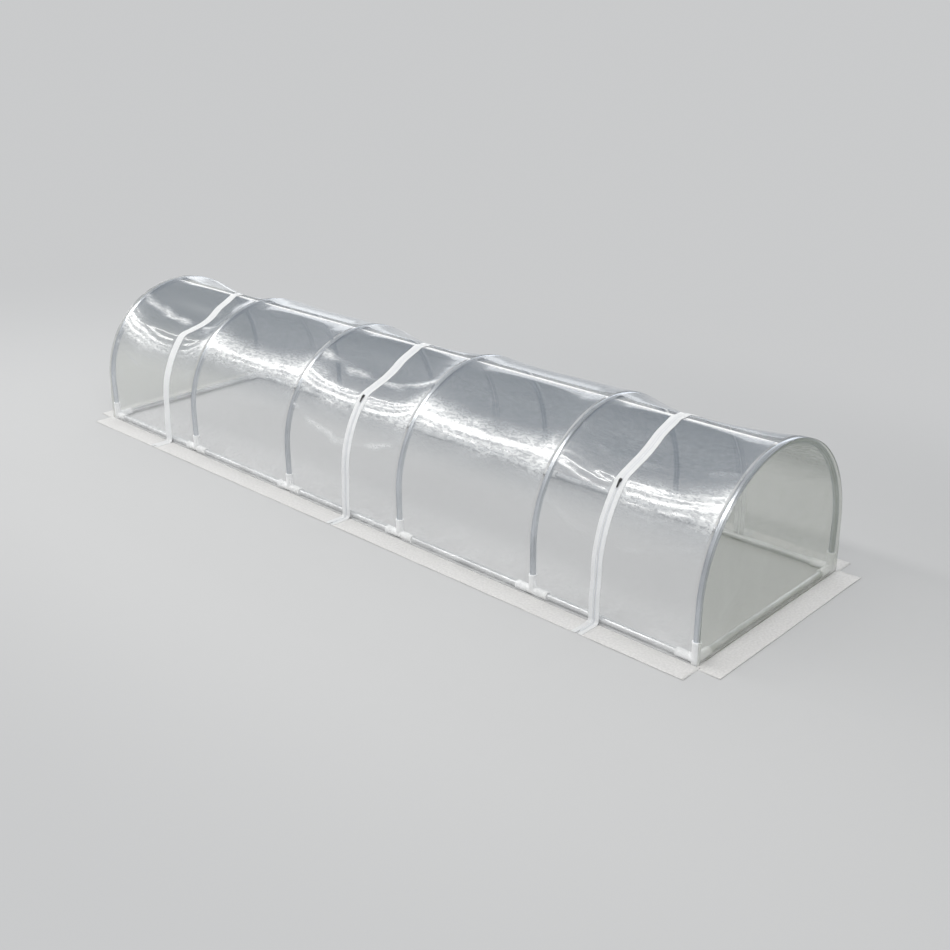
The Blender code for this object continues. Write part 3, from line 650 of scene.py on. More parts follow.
def panel_material(settings):
    """Flat clear film of the ends, slightly olive as a painted reflection of green surroundings,
    with dust along the ground.
    """
    material, tree, shader, place = new_material("panel_film", Roughness=FILM_ROUGHNESS)
    crinkles = use_group(
        tree, "Film Crinkles",
        {"Vector": place.outputs["UV"], "Density": PANEL_DENSITY, "Depth": PANEL_CREASE},
    )
    normal = bumped(tree, crinkles.outputs["Height"])
    dust = use_group(tree, "Ground Dust", {"Vector": place.outputs["Object"], "Reach": FOOT_HAZE})
    foot = calculate(tree, "MULTIPLY", dust.outputs["Mask"], settings.foot_haze)
    haze = calculate(tree, "ADD", foot, settings.panel_haze)
    # Olive tint: painted reflection of green surroundings
    clean = opaque(settings.panel_haze_and_reflection_colour)
    tint = blend_colours(tree, dust.outputs["Mask"], clean, opaque(DUST_COLOUR))
    finish_film(tree, shader, settings, normal, tint, haze, 1.0)
    return material


# Drawn tube: how dark it turns towards its rims, its drawing lines, its oxide and its dust
TUBE_RIM = (0.60, 0.63, 0.67)
DRAWN_LINES_PER_METRE = (2.0, 1400.0, 1.0)
DRAWN_RANGE = (0.2, 0.8)
OXIDE_SCALE = 9.0
OXIDE_RANGE = (0.35, 0.70)
OXIDE_SHARE = 0.80
ROUGHNESS_SPREAD = 0.14
TUBE_DUST_REACH = 0.06
TUBE_DUST_SHARE = 0.2

# Plastics: their roughness, and how many flow patches there are to a metre
ROD_PLASTIC = (0.34, 30.0)
FITTING_PLASTIC = (0.36, 24.0)
TEETH_PLASTIC = (0.42, 300.0)
# Moulded plastic: flow patches, scuffs and dust
FLOW_RANGE = (0.3, 0.7)
FLOW_SHARE = 0.93
FLOW_DEPTH = 0.00008
SCUFF_SHARE = 0.18
PLASTIC_DUST_REACH = 0.045
PLASTIC_DUST_SHARE = 0.22

# Woven cloth: paler and deeper threads, uneven patches, dust, and light through the weave
THREAD_RANGE = (0.3, 0.7)
PALE_SHARE = 1.05
DEEP_SHARE = 0.90
UNEVEN_SCALE = 11.0
UNEVEN_RANGE = (0.35, 0.75)
UNEVEN_SHARE = 0.35
CLOTH_DUST_REACH = 0.03
CLOTH_DUST_SHARE = 0.16
CLOTH_SHEEN = 0.15
CLOTH_GLOW = 0.6
# Threads to a metre, a thread's height, roughness, and how deep light passes
SKIRT_WEAVE = (620.0, 0.00012, 0.62, 0.0015)
TAPE_WEAVE = (1500.0, 0.00010, 0.66, 0.004)
# The stitched seam beside the chain, its colour partly painted shade of its sunk groove: its
# blurred edge and how far it is sunk
SEAM_EDGE = 0.0008
SEAM_DEPTH = 0.0003

# Black enamel: worn patches
ENAMEL_SCALE = 160.0
ENAMEL_RANGE = (0.3, 0.7)
ENAMEL_ROUGHNESS = (0.24, 0.42)
ENAMEL_COAT = 0.3
WORN_COLOUR = (0.12, 0.12, 0.125)
WORN_SHARE = 0.6


def aluminium_material(name, colour, roughest, streak_depth):
    """Drawn aluminium: fine lines along the tube, patches of dull oxide."""
    material, tree, shader, place = new_material(name, Metallic=1.0)
    shader.inputs["Specular Tint"].default_value = opaque(TUBE_RIM)
    marks = use_group(
        tree, "Handling Marks", {"Vector": place.outputs["Object"], "Scale": OXIDE_SCALE},
    )
    lines = add_node(
        tree, "ShaderNodeVectorMath", {0: place.outputs["UV"], 1: DRAWN_LINES_PER_METRE},
        operation="MULTIPLY",
    )
    drawn = add_node(
        tree, "ShaderNodeTexNoise",
        {"Vector": lines.outputs["Vector"], "Scale": 1.0, "Detail": 2.0},
        noise_dimensions="2D",
    )
    dust = use_group(
        tree, "Ground Dust", {"Vector": place.outputs["Object"], "Reach": TUBE_DUST_REACH},
    )
    oxide = remap(tree, marks.outputs["Patches"], *OXIDE_RANGE)
    shade = blend_colours(tree, oxide, opaque(colour), shaded(colour, OXIDE_SHARE))
    dusted = calculate(tree, "MULTIPLY", dust.outputs["Mask"], TUBE_DUST_SHARE)
    shade = blend_colours(tree, dusted, shade, opaque(DUST_COLOUR))
    smoothest = roughest - ROUGHNESS_SPREAD
    uneven = remap(tree, drawn.outputs["Fac"], *DRAWN_RANGE, smoothest, roughest)
    tree.links.new(shade, shader.inputs["Base Color"])
    tree.links.new(calculate(tree, "ADD", uneven, dusted), shader.inputs["Roughness"])
    height = calculate(tree, "MULTIPLY", drawn.outputs["Fac"], streak_depth)
    tree.links.new(bumped(tree, height), shader.inputs["Normal"])
    return material


def plastic_material(name, colour, roughness, scale):
    """Moulded white plastic: faint flow patches, scuffs and dust near the ground."""
    material, tree, shader, place = new_material(name)
    marks = use_group(tree, "Handling Marks", {"Vector": place.outputs["Object"], "Scale": scale})
    dust = use_group(
        tree, "Ground Dust", {"Vector": place.outputs["Object"], "Reach": PLASTIC_DUST_REACH},
    )
    flow = remap(tree, marks.outputs["Patches"], *FLOW_RANGE)
    shade = blend_colours(tree, flow, opaque(colour), shaded(colour, FLOW_SHARE))
    dusted = calculate(tree, "MULTIPLY", dust.outputs["Mask"], PLASTIC_DUST_SHARE)
    shade = blend_colours(tree, dusted, shade, opaque(DUST_COLOUR))
    scuffed = calculate(tree, "MULTIPLY", marks.outputs["Marks"], SCUFF_SHARE)
    tree.links.new(shade, shader.inputs["Base Color"])
    tree.links.new(calculate(tree, "ADD", scuffed, roughness), shader.inputs["Roughness"])
    height = calculate(tree, "MULTIPLY", marks.outputs["Patches"], FLOW_DEPTH)
    tree.links.new(bumped(tree, height), shader.inputs["Normal"])
    return material


def cloth_material(name, colour, threads, depth, roughness, glow_depth, seam=None):
    """Woven sheet or tape. A seam is its colour, partly painted shade, and its place across the
    tape, low and high.
    """
    material, tree, shader, place = new_material(name, Roughness=roughness)
    weave = use_group(tree, "Woven Threads", {"Vector": place.outputs["UV"], "Threads": threads})
    marks = use_group(
        tree, "Handling Marks", {"Vector": place.outputs["Object"], "Scale": UNEVEN_SCALE},
    )
    dust = use_group(
        tree, "Ground Dust", {"Vector": place.outputs["Object"], "Reach": CLOTH_DUST_REACH},
    )
    pale = shaded(colour, PALE_SHARE)
    deep = shaded(colour, DEEP_SHARE)
    shade = blend_colours(tree, remap(tree, weave.outputs["Shade"], *THREAD_RANGE), pale, deep)
    patchy = remap(tree, marks.outputs["Patches"], *UNEVEN_RANGE)
    uneven = calculate(tree, "MULTIPLY", patchy, UNEVEN_SHARE)
    shade = blend_colours(tree, uneven, shade, deep)
    dusted = calculate(tree, "MULTIPLY", dust.outputs["Mask"], CLOTH_DUST_SHARE)
    shade = blend_colours(tree, dusted, shade, opaque(DUST_COLOUR))
    height = calculate(tree, "MULTIPLY", weave.outputs["Height"], depth)
    if seam is not None:
        seam_shade_colour, seam_low, seam_high = seam
        across = add_node(tree, "ShaderNodeSeparateXYZ", {0: place.outputs["UV"]}).outputs["Y"]
        inner = remap(tree, across, seam_low - SEAM_EDGE, seam_low)
        outer = remap(tree, across, seam_high + SEAM_EDGE, seam_high)
        line = calculate(tree, "MULTIPLY", inner, outer)
        # Seam line painted darker: stitching and painted shade of its sunk groove
        shade = blend_colours(tree, line, shade, opaque(seam_shade_colour))
        sunk = calculate(tree, "MULTIPLY", line, -SEAM_DEPTH)
        height = calculate(tree, "ADD", height, sunk)
    tree.links.new(shade, shader.inputs["Base Color"])
    tree.links.new(bumped(tree, height), shader.inputs["Normal"])
    shader.inputs["Sheen Weight"].default_value = CLOTH_SHEEN
    shader.inputs["Subsurface Weight"].default_value = CLOTH_GLOW
    shader.inputs["Subsurface Radius"].default_value = (1.0, 1.0, 1.0)
    shader.inputs["Subsurface Scale"].default_value = glow_depth
    return material


def enamel_material(settings):
    """Black enamel with worn, paler patches."""
    material, tree, shader, place = new_material("black_enamel")
    marks = use_group(
        tree, "Handling Marks", {"Vector": place.outputs["Object"], "Scale": ENAMEL_SCALE},
    )
    worn = calculate(tree, "MULTIPLY", marks.outputs["Marks"], WORN_SHARE)
    shade = blend_colours(tree, worn, opaque(settings.slider_colour), opaque(WORN_COLOUR))
    tree.links.new(shade, shader.inputs["Base Color"])
    rough = remap(tree, marks.outputs["Patches"], *ENAMEL_RANGE, *ENAMEL_ROUGHNESS)
    tree.links.new(rough, shader.inputs["Roughness"])
    shader.inputs["Coat Weight"].default_value = ENAMEL_COAT
    return material


# Shapes

def ease(share):
    """A smooth step from 0 to 1."""
    share = np.clip(share, 0.0, 1.0)
    return share * share * (3.0 - 2.0 * share)


PATCH_CELLS = 64
# Rough patches have three layers, each this much finer and lower, which reach this peak in all
PATCH_LAYERS = 3
LAYER_FINENESS = 2.03
ROUGH_PEAK = 1.75


def lattice(across, along, seed):
    """Smooth random heights from -1 to 1 on a lattice of unit steps."""
    table = np.random.default_rng(seed).uniform(-1.0, 1.0, (PATCH_CELLS, PATCH_CELLS))
    across, along = np.broadcast_arrays(np.asarray(across, float), np.asarray(along, float))
    row = np.floor(across).astype(int)
    column = np.floor(along).astype(int)
    u = ease(across - row)
    v = ease(along - column)
    low_row = row % PATCH_CELLS
    high_row = (row + 1) % PATCH_CELLS
    low_column = column % PATCH_CELLS
    high_column = (column + 1) % PATCH_CELLS
    near = table[low_row, low_column] * (1 - u) + table[high_row, low_column] * u
    far = table[low_row, high_column] * (1 - u) + table[high_row, high_column] * u
    return near * (1 - v) + far * v


def patches(across, along, grain):
    """Smooth random heights from -1 to 1, by a grain: a patch's size both ways, and its seed."""
    width, length, seed = grain
    return lattice(across / width, along / length, seed)


def rough_patches(across, along, grain):
    """Random patches in layers, each finer and lower than the one before."""
    width, length, seed = grain
    total = 0.0
    for layer in range(PATCH_LAYERS):
        finer = LAYER_FINENESS ** layer
        heights = lattice(across / width * finer, along / length * finer, seed + layer)
        total = total + heights / finer
    return total


def through_shares(position, shares):
    """A smooth curve through evenly spaced shares, level at both ends."""
    shares = np.asarray(shares, float)
    last = len(shares) - 1
    position = np.clip(position, 0.0, last)
    step = np.minimum(position.astype(int), last - 1)
    part = position - step
    slope = np.gradient(shares)
    slope[0] = 0.0
    square = part * part
    cube = square * part
    return (
        (2 * cube - 3 * square + 1) * shares[step]
        + (cube - 2 * square + part) * slope[step]
        + (3 * square - 2 * cube) * shares[step + 1]
        + (cube - square) * slope[step + 1]
    )


def arch_at(run):
    """The film's inner face without sag, by the run from the front foot over to the back one."""
    run = np.asarray(run, float)
    angle = np.clip((run - LEG_RUN) / FILM_RADIUS, 0.0, math.pi)
    down = np.maximum(LEG_RUN - run, 0.0) + np.maximum(run - LEG_RUN - ARC_RUN, 0.0)
    out_y = -np.cos(angle)
    out_z = np.sin(angle)
    y = out_y * (FILM_RADIUS + FOOT_FLARE * ease(down / FLARE_HEIGHT))
    z = LEG_HEIGHT + out_z * FILM_RADIUS - down
    return y, z, out_y, out_z, angle


def bay_of(x):
    return np.clip(((x - HOOP_X[0]) / BAY_PITCH).astype(int), 0, BAY_COUNT - 1)


def fall_between_hoops(x):
    """From 0 at a hoop to 1 where the film hangs lowest in that bay."""
    bay = bay_of(x)
    lowest_x = BAY_LOWEST[bay]
    left = HOOP_X[bay]
    reach = np.where(x < lowest_x, lowest_x - left, left + BAY_PITCH - lowest_x)
    reach = reach - EVEN_HALF - HOOP_REST
    outside = np.maximum(0.0, np.abs(x - lowest_x) - EVEN_HALF)
    inside_cover = (x > HOOP_X[0]) & (x < HOOP_X[-1])
    return np.where(inside_cover, np.maximum(0.0, 1.0 - (outside / reach) ** 2), 0.0)


def film_sag(x, angle):
    """How far the film hangs inside the round arch."""
    x = np.asarray(x, float)
    from_front = np.minimum(angle, math.pi - angle)
    station = (from_front - PARK_ANGLE) / STATION_STEP
    side_share = np.where(station > 0, through_shares(station, SAG_SHARES), 0.0)
    taut = np.where(np.isin(bay_of(x), BAND_BAYS), 1.0, BACK_SAG_SHARE)
    side_share = side_share * np.where(angle > math.pi / 2, taut, 1.0)
    crown_share = np.clip(station / (len(SAG_SHARES) - 1), 0.0, 1.0)
    fall = fall_between_hoops(x)
    crown = CROWN_SAG * crown_share * np.minimum(1.0, 2 * fall)
    return np.maximum(BAY_SAG[bay_of(x)] * side_share * fall, crown)


# Folds beside the bands, bay by bay: how far they droop, and their share of the full depth
FOLD_DROOPS = np.array([0.090, 0.010, 0.045, 0.015, 0.040])
FOLD_SHARES = np.array([1.0, 0.35, 0.9, 0.35, 0.6])
FOLD_RUN = 0.471
FOLD_PITCH = 0.027
FOLD_SPREAD = 0.060
FOLD_LEVEL = 0.75
FOLD_SWING = 0.5
FOLD_DRIFT = 2.2
# Painted highlight, partly creases, that whitens the film in a band along each shoulder, more so
# just before a hoop
CREASE_HIGHLIGHT_LAYER = "CreaseAndHighlight"
CREASE_HIGHLIGHT_SPREAD = 0.056
CREASE_HIGHLIGHT_TAIL = 1.55
CREASE_HIGHLIGHT_NARROWING = 0.42
CREASE_HIGHLIGHT_WANDER = 0.010
CREASE_HIGHLIGHT_LEVEL = 0.92
CREASE_HIGHLIGHT_SWING = 0.30
HOOP_HIGHLIGHT_GAIN = 0.55
HOOP_HIGHLIGHT_REACH = 0.070
# How strong the painted highlight and creases are at places along the tunnel, counted in bays
HIGHLIGHT_PLACES = (0.0, 0.40, 0.72, 0.95, 1.04, 3.94, 4.04, 4.37, 4.47, 5.0)
HIGHLIGHT_SHARES = (1.0, 1.0, 0.55, 0.60, 1.0, 1.0, 0.22, 0.30, 0.85, 1.0)
# Whitened streaks that run up from the ground, partly crinkles and partly painted highlight
FOOT_HIGHLIGHT_REACH = 0.105
FOOT_HIGHLIGHT_SHARE = 0.42
FOOT_STREAK_LEVEL = 0.35
FOOT_STREAK_LEAN = 0.6
# Swags over the shoulders of the banded bays: run, droop, whitened spread and share of painted
# highlight, ridge
SWAG_FLOOR_SHARE = 0.5
SWAG_RUN = 0.590
SWAG_DROOP = 0.055
SWAG_SPREAD = 0.018
SWAG_HIGHLIGHT_SHARE = 0.95
SWAG_WIDTH = 0.011
SWAG_HEIGHT = 0.0036
# Fainter swags under the shoulders, whitened with a painted highlight
LOW_SWAG_RUN = 0.350
LOW_SWAG_DROOP = 0.075
LOW_SWAG_SPREAD = 0.010
LOW_SWAG_HIGHLIGHT_SHARE = 0.95
LOW_SWAG_WIDTH = 0.008
LOW_SWAG_HEIGHT = 0.0016
# Fine crinkles on the shoulders and near the ground, and broad soft waves
CRINKLE_SPREAD = 0.095
FOOT_CRINKLE_HEIGHT = 0.0014
FOOT_CRINKLE_REACH = 0.095
FOOT_CRINKLE_START = 0.034
WAVE_HEIGHT = 0.0016
WAVE_START = 0.10
# How far the film lies calm beside a hoop, a band and the ridge
HOOP_CALM = 0.040
BAND_CALM = 0.022
CROWN_CALM = math.radians(14)
# Grains of the random patches: their size along the tunnel, over the arch, and their seed
WANDER_GRAIN = (0.07, 0.05, 91)
CREASE_HIGHLIGHT_GRAIN = (0.13, 0.05, 97)
SWAG_GRAIN = (0.09, 0.03, 131)
FOOT_STREAK_GRAIN = (0.09, 0.022, 149)
FOLD_DRIFT_GRAIN = (0.11, 0.07, 11)
FOLD_GRAIN = (0.19, 0.045, 17)
CRINKLE_GRAIN = (0.030, 0.014, 23)
FOOT_CRINKLE_GRAIN = (0.045, 0.022, 37)
WAVE_GRAIN = (0.17, 0.12, 53)


def calm_share(x):
    """From 0 on a hoop or a band, where the film is held, to 1 between them."""
    share = np.ones_like(x)
    for place in HOOP_X:
        share = share * ease((np.abs(x - place) - HOOP_REST) / HOOP_CALM)
    for place in BAND_X:
        share = share * ease((np.abs(x - place) - EVEN_HALF) / BAND_CALM)
    return share


def swagged_share(bay):
    """How far a bay's film hangs in swags, from 0 to 1."""
    return np.maximum(FOLD_SHARES[bay] - SWAG_FLOOR_SHARE, 0.0) / (1.0 - SWAG_FLOOR_SHARE)


def broken_share(x, side_run):
    """Where a swag shows along its length, from 0 to 1."""
    return ease(0.5 + patches(x, side_run, SWAG_GRAIN))


def crease_and_highlight_share(x, run):
    """How strongly the film is whitened, from 0 to 1, by creases and a painted highlight: most on
    its shoulders, drooping between the hoops.
    """
    side_run = np.minimum(run, FULL_RUN - run)
    fall = fall_between_hoops(x)
    bay = bay_of(x)
    wander = CREASE_HIGHLIGHT_WANDER * rough_patches(x, run, WANDER_GRAIN)
    slope_run = side_run - FOLD_RUN + FOLD_DROOPS[bay] * fall + wander
    spread = CREASE_HIGHLIGHT_SPREAD * (1.0 - CREASE_HIGHLIGHT_NARROWING * FOLD_SHARES[bay] * fall)
    strength = CREASE_HIGHLIGHT_LEVEL + CREASE_HIGHLIGHT_SWING * patches(x, side_run, CREASE_HIGHLIGHT_GRAIN)
    # A painted highlight just before each hoop
    before_hoop = BAY_PITCH - (x - HOOP_X[0]) % BAY_PITCH
    strength = strength + HOOP_HIGHLIGHT_GAIN * np.exp(-((before_hoop / HOOP_HIGHLIGHT_REACH) ** 2))
    spread = spread * np.where(slope_run < 0.0, CREASE_HIGHLIGHT_TAIL, 1.0)
    # The painted highlight's strength at places along the tunnel
    along = np.interp((x - HOOP_X[0]) / BAY_PITCH, HIGHLIGHT_PLACES, HIGHLIGHT_SHARES)
    share = along * strength * np.exp(-((slope_run / spread) ** 2))
    swagged = swagged_share(bay)
    broken = broken_share(x, side_run)
    # Swag crests add painted highlight
    swag = (side_run - SWAG_RUN + SWAG_DROOP * fall + wander) / SWAG_SPREAD
    low_swag = (side_run - LOW_SWAG_RUN + LOW_SWAG_DROOP * fall + wander) / LOW_SWAG_SPREAD
    share = share + SWAG_HIGHLIGHT_SHARE * swagged * broken * np.exp(-(swag ** 2))
    share = share + LOW_SWAG_HIGHLIGHT_SHARE * swagged * broken * np.exp(-(low_swag ** 2))
    # Streaks near the ground whiten the film: partly crinkles, partly painted highlight
    leaning = side_run - FOOT_STREAK_LEAN * x
    streaks = ease(FOOT_STREAK_LEVEL + rough_patches(x + side_run, leaning, FOOT_STREAK_GRAIN))
    low = np.exp(-((side_run / FOOT_HIGHLIGHT_REACH) ** 2))
    share = share + FOOT_HIGHLIGHT_SHARE * low * streaks
    return np.clip(share, 0.0, 1.0)


def film_crinkles(x, run, settings):
    """Heights of the folds, creases and crinkles over the smooth film."""
    _, z, _, _, angle = arch_at(run)
    side_run = np.minimum(run, FULL_RUN - run)
    fall = fall_between_hoops(x)
    bay = bay_of(x)
    slope_run = side_run - FOLD_RUN + FOLD_DROOPS[bay] * fall
    drift = patches(x, run, FOLD_DRIFT_GRAIN)
    envelope = np.exp(-((slope_run / FOLD_SPREAD) ** 2))
    folds = np.sin(2 * math.pi * slope_run / FOLD_PITCH + FOLD_DRIFT * drift)
    uneven = FOLD_LEVEL + FOLD_SWING * patches(x, slope_run, FOLD_GRAIN)
    strength = FOLD_SHARES[bay] * uneven
    total = settings.fold_depth * strength * envelope * folds
    crinkled = rough_patches(x, slope_run, CRINKLE_GRAIN)
    on_shoulder = np.exp(-((slope_run / CRINKLE_SPREAD) ** 2))
    total = total + settings.crinkle_depth * crinkled * on_shoulder
    low_swag = (side_run - LOW_SWAG_RUN + LOW_SWAG_DROOP * fall) / LOW_SWAG_WIDTH
    total = total + LOW_SWAG_HEIGHT * FOLD_SHARES[bay] * np.exp(-(low_swag ** 2))
    swag = (side_run - SWAG_RUN + SWAG_DROOP * fall) / SWAG_WIDTH
    swag_depth = SWAG_HEIGHT * swagged_share(bay) * broken_share(x, side_run)
    total = total + swag_depth * np.exp(-(swag ** 2))
    low = np.exp(-((z / FOOT_CRINKLE_REACH) ** 2))
    low = low * ease((z - FOOT_CRINKLE_START) / FOOT_CRINKLE_START)
    leaning = rough_patches(x + run, run, FOOT_CRINKLE_GRAIN)
    total = total + FOOT_CRINKLE_HEIGHT * low * leaning
    total = total + WAVE_HEIGHT * patches(x, run, WAVE_GRAIN) * ease(z / WAVE_START)
    total = total * calm_share(x)
    near_crown = ease(np.abs(angle - math.pi / 2) / CROWN_CALM)
    return np.where(near_crown < 1.0, np.maximum(total, 0.0) * near_crown, total)


def sheet_mesh(name, points, flat, outward, keep=None):
    """A grid of points [rows, columns, 3] as a mesh, its flat place in metres as its UV."""
    rows, columns = points.shape[:2]
    index = np.arange(rows * columns).reshape(rows, columns)
    corners = np.stack([index[:-1, :-1], index[:-1, 1:], index[1:, 1:], index[1:, :-1]], axis=-1)
    first = np.cross(points[0, 1] - points[0, 0], points[1, 0] - points[0, 0])
    if np.dot(first, outward) < 0:
        corners = corners[..., ::-1]
    if keep is not None:
        corners = corners[keep]
    faces = corners.reshape(-1, 4)
    return mesh_from(name, points.reshape(-1, 3), faces, flat.reshape(-1, 2))


def mesh_from(name, points, faces, flat=None):
    """A smooth mesh from points, faces and flat places. Points that no face uses are left out."""
    faces = [list(map(int, face)) for face in faces]
    used = np.zeros(len(points), bool)
    used[np.concatenate([np.asarray(face) for face in faces])] = True
    renumber = np.cumsum(used) - 1
    faces = [[int(renumber[index]) for index in face] for face in faces]
    mesh = bpy.data.meshes.new(name)
    mesh.from_pydata(points[used].tolist(), [], faces)
    if flat is not None:
        corner = np.empty(len(mesh.loops), np.int32)
        mesh.loops.foreach_get("vertex_index", corner)
        layer = mesh.uv_layers.new(name="Flat")
        layer.uv.foreach_set("vector", flat[used][corner].astype(np.float32).ravel())
    mesh.shade_smooth()
    return mesh


def face_outward(mesh, sharp_angle):
    """Turns the faces of a closed mesh outward, and sharpens the edges over an angle."""
    shape = bmesh.new()
    shape.from_mesh(mesh)
    bmesh.ops.recalc_face_normals(shape, faces=shape.faces)
    shape.to_mesh(mesh)
    shape.free()
    mesh.set_sharp_from_angle(angle=sharp_angle)


def in_scene(name, data):
    """A new object in the scene."""
    item = bpy.data.objects.new(name, data)
    bpy.context.scene.collection.objects.link(item)
    return item


def add_piece(name, mesh, material, body=None, replaces=()):
    """A visible piece with its material, its body and the nodes that it stands for."""
    piece = in_scene(name, mesh)
    if not mesh.materials:
        mesh.materials.append(material)
    if body is not None:
        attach(piece, body)
    if replaces:
        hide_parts(*replaces)
    return piece


def thicken(piece, thickness):
    """Gives a sheet its thickness on the side that it faces."""
    shell = piece.modifiers.new("Thickness", "SOLIDIFY")
    shell.thickness = thickness
    shell.offset = 1.0
    shell.use_even_offset = False
    return piece


def steps_between(start, end, pitch):
    """Evenly spaced places from start to end, about one pitch apart."""
    count = max(int(round(abs(end - start) / pitch)), 1)
    return np.linspace(start, end, count + 1)


def along_line(line):
    """The direction at each point of a line, and the run up to there."""
    direction = np.gradient(line, axis=0)
    direction = direction / np.linalg.norm(direction, axis=1)[:, None]
    steps = np.linalg.norm(np.diff(line, axis=0), axis=1)
    return direction, np.concatenate([[0.0], np.cumsum(steps)])


TUBE_SIDES = 28
TUBE_SHARP_ANGLE = math.radians(50)


def tube_mesh(name, line, radius, across):
    """A round tube along a line of points that lies in the plane square to across."""
    line = np.asarray(line, float)
    across = np.asarray(across, float)
    direction, run = along_line(line)
    normal = np.cross(direction, across)
    turn = 2 * math.pi * np.arange(TUBE_SIDES) / TUBE_SIDES
    ring = np.cos(turn)[None, :, None] * normal[:, None, :]
    ring = ring + np.sin(turn)[None, :, None] * across
    points = line[:, None, :] + radius * ring
    flat = np.stack(np.broadcast_arrays(run[:, None], radius * turn[None, :]), axis=-1)
    index = np.arange(len(line) * TUBE_SIDES).reshape(len(line), TUBE_SIDES)
    after = np.roll(index, -1, axis=1)
    sides = np.stack([index[:-1], index[1:], after[1:], after[:-1]], axis=-1)
    faces = sides.reshape(-1, 4).tolist()
    faces.append(index[0].tolist())
    faces.append(index[-1][::-1].tolist())
    mesh = mesh_from(name, points.reshape(-1, 3), faces, flat.reshape(-1, 2))
    face_outward(mesh, TUBE_SHARP_ANGLE)
    return mesh


HOOP_STEPS = 72
RAIL_STEP = 0.05
HOOP_ROUGHEST = 0.34
RAIL_ROUGHEST = 0.48


class ROWCOVER_OT_dress_tubes(bpy.types.Operator):
    """Round hoops, rails and ridge rods with drawn metal and white finishes"""

    bl_idname = "rowcover.dress_tubes"
    bl_label = "Dress Tubes"

    def execute(self, context):
        settings = context.scene.tunnel_tubes
        depth = settings.streak_depth
        metal = aluminium_material("drawn_aluminium", settings.metal_colour, HOOP_ROUGHEST, depth)
        # Rails: painted paler than the hoops, a painted sky reflection, and rougher
        dull = aluminium_material("rail_aluminium_painted_pale", settings.rail_painted_pale_colour, RAIL_ROUGHEST, depth)
        white = plastic_material("white_rod", settings.rod_colour, *ROD_PLASTIC)
        turn = np.linspace(0.0, math.pi, HOOP_STEPS + 1)
        arch_y = -HOOP_RADIUS * np.cos(turn)
        arch_z = LEG_HEIGHT + HOOP_RADIUS * np.sin(turn)
        leg = steps_between(LEG_FOOT, LEG_HEIGHT, RAIL_STEP / 2)[:-1]
        side_y = np.full(len(leg), HOOP_RADIUS)
        line_y = np.concatenate([-side_y, arch_y, side_y])
        line_z = np.concatenate([leg, arch_z, leg[::-1]])
        for name, x in zip(HOOPS, HOOP_X):
            line = np.stack([np.full(len(line_y), x), line_y, line_z], axis=1)
            mesh = tube_mesh(name + "_tube", line, TUBE_RADIUS, (1.0, 0.0, 0.0))
            add_piece(name + "_tube", mesh, metal, "frame", (name,))
        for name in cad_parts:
            if "_rail" in name:
                self.straight(name, TUBE_RADIUS, dull, "aluminium_tube")
            elif name.startswith("ridge_rod"):
                self.straight(name, ROD_RADIUS, white, "rod_plastic")
        return {"FINISHED"}

    def straight(self, name, radius, material, slot):
        """One straight tube or rod in its node's place."""
        low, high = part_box(name)
        centre = (low + high) / 2
        along_x = high.x - low.x > high.y - low.y
        if along_x:
            places = steps_between(low.x, high.x, RAIL_STEP)
            line = [(x, centre.y, centre.z) for x in places]
            across = (0.0, 1.0, 0.0)
        else:
            places = steps_between(low.y, high.y, RAIL_STEP)
            line = [(centre.x, y, centre.z) for y in places]
            across = (1.0, 0.0, 0.0)
        mesh = tube_mesh(name + "_tube", line, radius, across)
        add_piece(name + "_tube", mesh, material, "frame", (name,))


# Moulded fittings

SLEEVE_RADIUS = 0.0131
COLLAR_RADIUS = 0.0140
COLLAR_LENGTH = 0.0065
BORE_RADIUS = TUBE_RADIUS + FIT_GAP
STOP_WALL = 0.003
CUT_PAST = 0.002
FITTING_SIDES = 40
FITTING_SHARP_ANGLE = math.radians(38)
WELD_DISTANCE = 0.00001
# Soft inner corners: how strongly and how often points are evened, and the share of faces kept
SOFTENING = 0.5
SOFTENING_PASSES = 3
FACES_KEPT = 0.30


def sleeve_profile(start, end, collar_at_start):
    """Radius and height down the outer side of one sleeve, from its mouth to its foot."""
    profile = [
        (0.0, end), (COLLAR_RADIUS, end), (COLLAR_RADIUS, end - COLLAR_LENGTH),
        (SLEEVE_RADIUS, end - COLLAR_LENGTH),
    ]
    if collar_at_start:
        profile += [(SLEEVE_RADIUS, start + COLLAR_LENGTH), (COLLAR_RADIUS, start + COLLAR_LENGTH)]
        profile.append((COLLAR_RADIUS, start))
    else:
        profile.append((SLEEVE_RADIUS, start))
    profile.append((0.0, start))
    return profile


def turned_shape(profile, direction):
    """A helper turned about an axis through the origin."""
    mesh = bpy.data.meshes.new("turned")
    shape = bmesh.new()
    ends = [shape.verts.new((radius, 0.0, height)) for radius, height in profile]
    edges = [shape.edges.new(pair) for pair in zip(ends, ends[1:])]
    bmesh.ops.spin(
        shape, geom=ends + edges, cent=(0, 0, 0), axis=(0, 0, 1), angle=2 * math.pi,
        steps=FITTING_SIDES, use_merge=True,
    )
    bmesh.ops.remove_doubles(shape, verts=shape.verts, dist=WELD_DISTANCE)
    bmesh.ops.recalc_face_normals(shape, faces=shape.faces)
    turn = Vector((0.0, 0.0, 1.0)).rotation_difference(Vector(direction)).to_matrix()
    bmesh.ops.rotate(shape, cent=(0, 0, 0), matrix=turn, verts=shape.verts)
    shape.to_mesh(mesh)
    shape.free()
    return mesh


def evaluated_mesh(item, name):
    """The mesh of a helper with its modifiers made final. The helper is removed."""
    bpy.context.view_layer.update()
    graph = bpy.context.evaluated_depsgraph_get()
    mesh = bpy.data.meshes.new_from_object(item.evaluated_get(graph), depsgraph=graph)
    mesh.name = name
    bpy.data.objects.remove(item, do_unlink=True)
    return mesh


